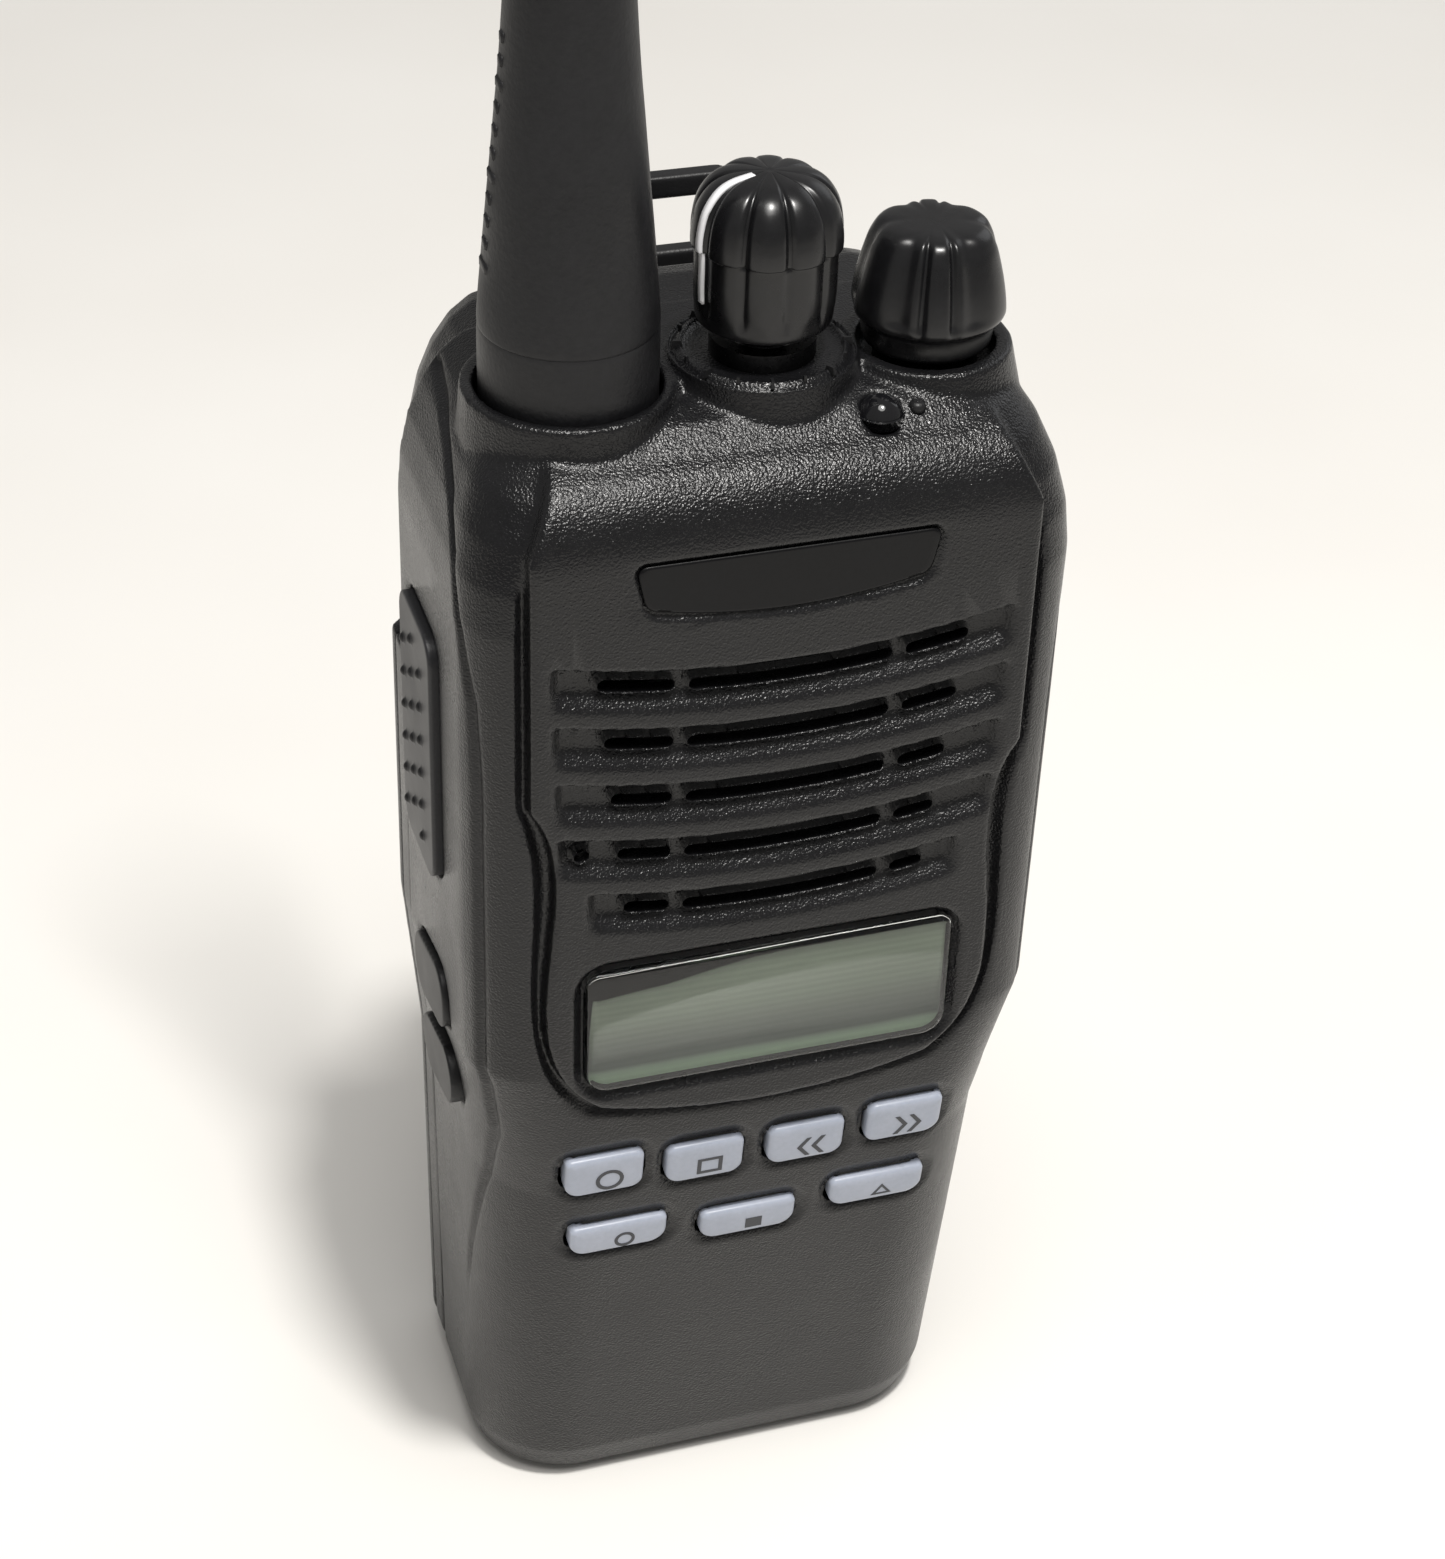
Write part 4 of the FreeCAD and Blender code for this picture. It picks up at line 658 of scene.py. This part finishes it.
def build_index(x, z0, tall, profile):
    """White line that follows the channel knob's outline over its shoulder."""
    angle = math.radians(INDEX_ANGLE)
    points, faces = [], []
    line = [p for p in profile if z0 + 2.4 < p[1] and p[0] > 1.5]
    for radius, z in line:
        for lift in (-INDEX_DEPTH, 0.0):
            for side in (-INDEX_HALF, INDEX_HALF):
                rr = max(radius + lift - 0.01, 0.1)
                cz = z + (lift * 0.4 if z > z0 + tall * 0.8 else 0)
                points.append((x + rr * math.cos(angle) - side * math.sin(angle),
                               rr * math.sin(angle) + side * math.cos(angle), cz))
    for i in range(len(line) - 1):
        a, b = 4 * i, 4 * (i + 1)
        for p, q in ((2, 3), (3, 1), (1, 0), (0, 2)):
            faces.append((a + p, a + q, b + q, b + p))
    faces.append((0, 1, 3, 2))
    end = 4 * (len(line) - 1)
    faces.append((end + 2, end + 3, end + 1, end))
    index = new_object("channel_index", points, faces, "white")
    settle(index, "channel_knob", "pointer_white", "channel_pointer")


def build_volume_knob():
    x, r, z0, z1 = knob_frame("volume_knob")
    tall = z1 - z0
    profile = smooth_profile([(r - 1.25, z0), (r - 1.1, z0 + 0.3), (r - 0.9, z0 + 1.9),
                              (r - 0.15, z0 + 2.7), (r, z0 + 3.6), (r - 0.3, z0 + 5.6),
                              (r - 0.85, z0 + 7.8), (r - 1.3, z0 + 9.1), (r - 2.0, z1 - 0.42),
                              (r - 3.2, z1 - 0.06), (0.9, z1), (0.05, z1)], 7)
    profile = [(radius, min(z, z1)) for radius, z in profile]

    def fingered(angle, radius, z):
        up = (z - z0) / tall
        ends = min(1.0, max(0.0, (up - 0.2) / 0.15)) * min(1.0, radius / 3.0)
        cut, valley = 0.0, 0.0
        for i in range(FINGERS):
            centre = math.radians(FINGER_ANGLE + 360 / FINGERS * i)
            valley = max(valley, groove_at(angle, centre + math.pi / FINGERS, 0.20))
            if i % 3 == 0:
                for edge in (-RIDGE_HALF, RIDGE_HALF):
                    cut = max(cut, groove_at(angle, centre + edge, 0.06))
        return max(0.02, radius - (RIDGE_CUT * cut + FINGER_HOLLOW * valley) * ends - 0.05)

    knob = lathe("volume_grip", x, 0.0, profile, "knob", 216, fingered)
    settle(knob, "volume_knob", "knob_black", "volume_knob")


build_channel_knob()
build_volume_knob()


# ---- marks on the top --------------------------------------------------------------
POSITIONS = 16                 # marks round the channel knob, long and short in turn
FIRST_MARK = -101.25
MARK_RADIUS = 7.15
MARK_HALF_WIDTH = 0.17
LONG_MARK_HALF, SHORT_MARK_HALF = 0.5, 0.16
PIP_AWAY = 3.2                 # of the raised dot from the status lamp


def build_marks():
    """Raised ticks and dots round the channel knob."""
    points, faces = [], []
    top = BEZEL_TOP - 0.5
    for i in range(POSITIONS):
        angle = math.radians(FIRST_MARK + 360 / POSITIONS * i)
        half = SHORT_MARK_HALF if i % 2 else LONG_MARK_HALF
        cx, cy = KNOB_X + MARK_RADIUS * math.cos(angle), MARK_RADIUS * math.sin(angle)
        start = len(points)
        for lift, shrink in ((-0.4, 1.0), (0.22, 0.7)):
            for dr, dt in ((-1, -1), (1, -1), (1, 1), (-1, 1)):
                u, v = dr * half * shrink, dt * MARK_HALF_WIDTH * shrink
                points.append((cx + u * math.cos(angle) - v * math.sin(angle),
                               cy + u * math.sin(angle) + v * math.cos(angle), top + lift))
        for quad in ((4, 5, 6, 7), (0, 1, 5, 4), (1, 2, 6, 5), (2, 3, 7, 6), (3, 0, 4, 7), (3, 2, 1, 0)):
            faces.append(tuple(start + k for k in quad))
    marks = new_object("channel_marks", points, faces, "case_fine", smooth=False)
    settle(marks, "radio", "case_black")


def build_lamp():
    """Domed status lamp, and the raised dot beside it."""
    low, high = box_mm("status_lens")
    cx, cy = (low[0] + high[0]) / 2, (low[1] + high[1]) / 2
    r = (high[0] - low[0]) / 2 + 0.35
    top = high[2]
    dome = [(r * 0.98, top - 2.4), (r, top - 1.4)]
    dome += [(r * math.cos(a), top - r + r * math.sin(a)) for a in np.linspace(0.1, 1.53, 14)]
    settle(lathe("status_dome", cx, cy, dome, "lamp", 48), "radio", "lens_clear", "status_lens")
    pip = [(0.75, top - 1.9), (0.75, top - 1.25), (0.6, top - 0.95), (0.3, top - 0.85),
           (0.02, top - 0.82)]
    settle(lathe("status_pip", cx + PIP_AWAY, cy - 0.1, pip, "case_fine", 24), "radio", "case_black")


build_marks()
build_lamp()


# ---- name plate and display --------------------------------------------------------
def rounded_outline(cx, cz, half_w, half_h, radii, steps=8):
    """Points of a rounded rectangle; radii are bottom left, bottom right, top right, top left."""
    corners = [(-1, -1, 180), (1, -1, 270), (1, 1, 0), (-1, 1, 90)]
    out = []
    for (sx, sz, start), r in zip(corners, radii):
        ox, oz = cx + sx * (half_w - r), cz + sz * (half_h - r)
        for k in range(steps + 1):
            a = math.radians(start + 90 * k / steps)
            out.append((ox + r * math.cos(a), oz + r * math.sin(a)))
    return out


def slab(name, outline_at, layers, material, origin=(0, 0, 0), lean=0.0):
    """Stacks outlines into a closed plate, which then leans about origin. layers are
    (depth, inset)."""
    points, faces = [], []
    for depth, inset in layers:
        ring = outline_at(inset)
        count = len(ring)
        for px, pz in ring:
            points.append((px, depth, pz))
    for i in range(len(layers) - 1):
        for j in range(count):
            k = (j + 1) % count
            a, b = i * count + j, i * count + k
            faces.append((a, b, b + count, a + count))
    faces.append(tuple(reversed(range(count))))
    faces.append(tuple(range((len(layers) - 1) * count, len(layers) * count)))
    return new_object(name, tilted(points, origin, lean), faces, material)


def build_plate():
    """Blank glossy inlay above the grille."""
    points, faces = [], []
    across, down = 49, 13
    for depth, grow in ((0.10, -0.35), (0.16, -0.14), (0.5, -0.1)):
        upper = PLATE_RISE + grow
        end = PLATE_HALF + grow
        for i in range(across):
            u = -1 + 2 * i / (across - 1)
            foot = -PLATE_DROP - PLATE_BOW * (1 - u * u) - grow
            for j in range(down):
                t = 0.5 - 0.5 * math.cos(math.pi * j / (down - 1))
                v = foot + (upper - foot) * t
                gap = max(0.0, min(v - foot, upper - v, PLATE_CORNER))
                cut = PLATE_CORNER - math.sqrt(PLATE_CORNER ** 2 - (PLATE_CORNER - gap) ** 2)
                px = u * (end + PLATE_LEAN * (v - PLATE_WIDEST) - cut)
                arch = max(0.0, PLATE[2] + v - ISLAND_TOP) ** 2 / (2 * ISLAND_RADIUS)
                points.append((px, FRONT + depth + arch, PLATE[2] + v))
    n = across * down
    for i in range(across - 1):
        for j in range(down - 1):
            a = i * down + j
            faces.append((a, a + down, a + down + 1, a + 1))
            faces.append((2 * n + a, 2 * n + a + 1, 2 * n + a + down + 1, 2 * n + a + down))
    rim = [i * down for i in range(across)]
    rim += [(across - 1) * down + j for j in range(1, down)]
    rim += [i * down + down - 1 for i in range(across - 2, -1, -1)]
    rim += range(down - 2, 0, -1)
    for layer in range(2):
        for k in range(len(rim)):
            a, b = rim[k], rim[(k + 1) % len(rim)]
            faces.append((layer * n + a, layer * n + b, (layer + 1) * n + b, (layer + 1) * n + a))
    plate = new_object("blank_plate", points, faces, "plate")
    settle(plate, "radio", "plate_black", "name_plate")


build_plate()


def build_display():
    """Clear lens, thicker in the middle, with the film behind it."""
    low, high = box_mm("lcd_lens")
    half_w, half_h = LENS_SIZE[0] / 2, LENS_SIZE[2] / 2

    def outline(inset):
        radii = (2.3 - inset, 2.3 - inset, 1.1 - inset * 0.6, 1.1 - inset * 0.6)
        return rounded_outline(LENS[0], LENS[2], half_w - inset, half_h - inset, radii)

    front, back = low[1] + 0.02, high[1] - 0.14
    lens = slab("display_lens", outline,
                [(front, 0.5), (front + 0.06, 0.22), (front + 0.2, 0.08), (front + 0.45, 0.0),
                 (back - 0.05, 0.0), (back, 0.05)], "lens")
    settle(lens, "radio", "lens_clear", "lcd_lens")
    face = slab("display_film", lambda inset: outline(inset + 0.45),
                [(back + 0.03, 0.0), (back + 0.11, 0.0)], "display")
    settle(face, "radio", "display_green")


build_display()


# ---- keys --------------------------------------------------------------------------
TILT = math.radians(7.84)      # lean of the key panel
CAP_FRONT = -1.71              # the caps' faces, from the middle of the key pieces
UPPER_HALF, LOWER_HALF = 2.5, 1.9
LEGEND_PROUD = 0.035
LEGEND_DEEP = 0.2
# corner radii (bottom left, bottom right, top right, top left) and the mark in place of letters
KEY_SHAPES = {
    "key_upper_1": ((1.6, 1.3, 0.9, 0.6), "ring"),
    "key_upper_2": ((1.6, 1.4, 0.9, 0.9), "square"),
    "key_upper_3": ((1.6, 1.4, 0.9, 0.9), "chevron_left"),
    "key_upper_4": ((1.3, 1.7, 0.7, 1.0), "chevron_right"),
    "key_lower_1": ((1.75, 1.75, 0.7, 0.6), "circle"),
    "key_lower_2": ((1.75, 1.75, 0.7, 0.7), "block"),
    "key_lower_3": ((1.75, 1.75, 0.6, 0.7), "triangle"),
}


def build_key(key):
    radii, legend = KEY_SHAPES[key]
    low, high = box_mm(key)
    x, y, z = (low[0] + high[0]) / 2, (low[1] + high[1]) / 2, (low[2] + high[2]) / 2
    half_w = (high[0] - low[0]) / 2 - KEY_FLANGE
    half_h = UPPER_HALF if "upper" in key else LOWER_HALF

    def outline(inset):
        grown = [max(0.15, r - inset) for r in radii]
        return rounded_outline(x, z, half_w - inset, half_h - inset, grown, 7)

    front = y + CAP_FRONT
    layers = [(front, 1.1), (front + 0.03, 0.6), (front + 0.11, 0.3), (front + 0.24, 0.1),
              (front + 0.42, 0.02), (front + 0.7, 0.0), (front + 3.2, 0.0)]
    cap = slab(key + "_cap", outline, layers, "key", (x, y, z), TILT)
    settle(cap, key, "key_grey", key)
    build_legend(key, legend, (x, y, z), half_w, half_h)


def ring_points(cx, cz, radius, n=28):
    return [(cx + radius * math.cos(2 * math.pi * k / n), cz + radius * math.sin(2 * math.pi * k / n))
            for k in range(n)]


def band_shape(outer, inner):
    """Points and faces between two loops of the same length."""
    n = len(outer)
    return outer + inner, [(k, (k + 1) % n, n + (k + 1) % n, n + k) for k in range(n)]


def box_loop(cx, cz, half_w, half_h):
    return [(cx - half_w, cz - half_h), (cx + half_w, cz - half_h),
            (cx + half_w, cz + half_h), (cx - half_w, cz + half_h)]


def scaled(loop, cx, cz, k):
    return [(cx + (px - cx) * k, cz + (pz - cz) * k) for px, pz in loop]


def legend_shape(legend, cx, cz):
    """Flat points and faces of a key's mark."""
    if legend == "circle":
        return band_shape(ring_points(cx, cz, 0.92), ring_points(cx, cz, 0.62))
    if legend == "ring":
        return band_shape(ring_points(cx, cz, 1.05), ring_points(cx, cz, 0.75))
    if legend == "square":
        loop = box_loop(cx, cz, 0.95, 0.8)
        return band_shape(loop, scaled(loop, cx, cz, 0.68))
    if legend == "block":
        return box_loop(cx, cz, 0.75, 0.62), [(0, 1, 2, 3)]
    if legend == "triangle":
        loop = [(cx - 0.95, cz - 0.6), (cx + 0.95, cz - 0.6), (cx, cz + 0.75)]
        return band_shape(loop, scaled(loop, cx, cz - 0.15, 0.58))
    s = -1 if legend == "chevron_left" else 1
    flat, quads = [], []
    for shift in (-0.55, 0.55):
        k = len(flat)
        ox = cx + shift
        flat += [(ox - s * 0.55, cz + 0.95), (ox - s * 0.2, cz + 0.95), (ox + s * 0.5, cz),
                 (ox - s * 0.2, cz - 0.95), (ox - s * 0.55, cz - 0.95), (ox + s * 0.12, cz)]
        quads += [(k, k + 1, k + 2, k + 5), (k + 5, k + 2, k + 3, k + 4)]
    return flat, quads


def build_legend(key, legend, origin, half_w, half_h):
    cx, cz = origin[0] + 0.12 * half_w, origin[2] - 0.22 * half_h
    flat, quads = legend_shape(legend, cx, cz)
    flat = scaled(flat, cx, cz, 1.3 if "upper" in key else 1.1)
    y = origin[1] + CAP_FRONT
    points = [(px, y - LEGEND_PROUD, pz) for px, pz in flat]
    points += [(px, y + LEGEND_DEEP, pz) for px, pz in flat]
    n = len(flat)
    faces = [tuple(q) for q in quads] + [tuple(k + n for k in reversed(q)) for q in quads]
    edges = {}
    for q in quads:
        for a, b in zip(q, q[1:] + q[:1]):
            edges[(a, b)] = edges.get((a, b), 0) + 1
    for a, b in edges:
        if (b, a) not in edges:
            faces.append((b, a, a + n, b + n))
    piece = new_object(key + "_legend", tilted(points, origin, TILT), faces, "ink", smooth=False)
    settle(piece, key, "key_grey")


for key_node in KEY_NODES:
    build_key(key_node)


# ---- sides, battery and clip -------------------------------------------------------
# node, grid in mm, softening passes, share of faces kept, finish, body
for node, voxel, passes, keep, material, body in (
        ("ptt_key", 0.16, 3, 0.5, "ptt", "ptt"),
        ("side_key_1", 0.2, 6, 0.5, "rubber", "side_key_1"),
        ("side_key_2", 0.2, 6, 0.5, "rubber", "side_key_2"),
        ("connector_cover", 0.2, 3, 0.5, "case", "radio"),
        ("battery_tray", 0.35, 3, 0.4, "case", "battery"),
        ("battery_cover", 0.35, 5, 0.4, "case", "battery"),
        ("clip_leaf", 0.25, 4, 0.5, "case_fine", "clip_leaf"),
        ("clip_base", 0.25, 3, 0.5, "case_fine", "radio"),
        ("latch_button", 0.15, 3, 0.5, "case_fine", "latch")):
    settle(cast("cast_" + node, node, voxel, passes, keep, material), body, slot_of[node], node)


DOT_COLUMNS = 3
DOTS = 6                       # in each column
DOT_ACROSS = 3.0
DOT_PITCH = 3.5
DOT_RADIUS = 0.5
DOT_HEIGHT = 0.52


def build_ptt_dots():
    """Three staggered columns of small domes on the push-to-talk key."""
    low = box_mm("ptt_key")[0]
    face = low[0] + 0.45
    for column in range(DOT_COLUMNS):
        y = low[1] + 3.6 + DOT_ACROSS * column
        shift = DOT_PITCH / 2 if column == 1 else 0.0
        for i in range(DOTS):
            z = low[2] + 3.2 + shift + i * DOT_PITCH
            build_dot("ptt_dot_%d_%d" % (column, i), face + 0.1, y, z)


def build_dot(name, x, y, z, rings=6, around=16):
    """Dome that stands out towards -X."""
    points, faces = [], []
    for a in range(rings):
        t = a / (rings - 1) * math.pi / 2
        for b in range(around):
            w = 2 * math.pi * b / around
            r = DOT_RADIUS * math.cos(t) + 0.01
            points.append((x - DOT_HEIGHT * math.sin(t), y + r * math.cos(w), z + r * math.sin(w)))
    for a in range(rings - 1):
        for b in range(around):
            c, d = a * around, (b + 1) % around
            faces.append((c + b, c + d, c + around + d, c + around + b))
    faces.append(tuple(range((rings - 1) * around, rings * around)))
    faces.append(tuple(reversed(range(around))))
    settle(new_object(name, points, faces, "rubber"), "ptt", "ptt_grey")


build_ptt_dots()


# ---- stage, light and camera -------------------------------------------------------
TABLE_HALF = 4000.0            # millimetres
ROOM_LIGHT = 0.30
# places and sizes of lights and camera are metres
WARM_WHITE = (1.0, 0.985, 0.96)
AZIMUTH, ELEVATION, ROLL = -18.65, 35.72, 2.22
AIM = (-0.0004, 0, 0.08186)
DISTANCE = 0.29179
FOCAL_LENGTH = 73.9
SENSOR = 36.0


def build_stage():
    mat, tree, shader, coord = node_tree("pale_table")
    broad = noise(tree, coord, 120.0, 3.0)
    tree.links.new(ramp(tree, broad, 0.3, 0.7, (0.79, 0.77, 0.735), (0.83, 0.815, 0.785)),
                   shader.inputs["Base Color"])
    shader.inputs["Roughness"].default_value = 0.55
    bump(tree, shader, [(noise(tree, coord, 6.0, 2.0), 0.1, 1.0)], 0.1)
    half = TABLE_HALF * MM
    mesh = bpy.data.meshes.new("table")
    mesh.from_pydata([(-half, -half, 0), (half, -half, 0), (half, half, 0), (-half, half, 0)],
                     [], [(0, 1, 2, 3)])
    mesh.materials.append(mat)
    table = bpy.data.objects.new("table", mesh)
    bpy.context.scene.collection.objects.link(table)


def area_light(name, place, aim, size, power, colour):
    data = bpy.data.lights.new(name, "AREA")
    data.shape = "DISK"
    data.size = size
    data.energy = power
    data.color = colour
    light = bpy.data.objects.new(name, data)
    bpy.context.scene.collection.objects.link(light)
    light.location = place
    direction = Vector(aim) - Vector(place)
    light.rotation_euler = direction.to_track_quat("-Z", "Y").to_euler()


def build_light():
    world = bpy.data.worlds.new("room")
    bpy.context.scene.world = world
    world.use_nodes = True
    background = world.node_tree.nodes["Background"]
    background.inputs["Color"].default_value = (*WARM_WHITE, 1)
    background.inputs["Strength"].default_value = ROOM_LIGHT
    area_light("ceiling", (-0.02, -0.30, 0.95), (0, -0.05, 0.0), 0.5, 4.6, WARM_WHITE)
    area_light("lamp", (0.05, -0.27, 1.0), (0, 0, 0.1), 0.09, 7.5, (1.0, 0.98, 0.95))
    area_light("window", (1.4, 0.8, 0.9), (0, 0, 0.05), 1.2, 3.0, (0.95, 0.97, 1.0))


def build_camera():
    """Seen from the front left and above, as the radio stands on a table."""
    azimuth, elevation, roll = math.radians(AZIMUTH), math.radians(ELEVATION), math.radians(ROLL)
    forward = Vector((-math.sin(azimuth) * math.cos(elevation),
                      math.cos(azimuth) * math.cos(elevation), -math.sin(elevation)))
    right = forward.cross(Vector((0, 0, 1))).normalized()
    up = right.cross(forward)
    right_r = math.cos(roll) * right + math.sin(roll) * up
    up_r = -math.sin(roll) * right + math.cos(roll) * up
    data = bpy.data.cameras.new("view")
    camera = bpy.data.objects.new("view", data)
    bpy.context.scene.collection.objects.link(camera)
    place = Vector(AIM) - forward * DISTANCE
    camera.matrix_world = Matrix((
        (right_r.x, up_r.x, -forward.x, place.x),
        (right_r.y, up_r.y, -forward.y, place.y),
        (right_r.z, up_r.z, -forward.z, place.z),
        (0, 0, 0, 1)))
    data.sensor_width = SENSOR
    data.lens = FOCAL_LENGTH
    data.clip_start = 0.01
    bpy.context.scene.camera = camera


build_stage()
build_light()
build_camera()
bpy.context.scene.view_settings.view_transform = "Standard"
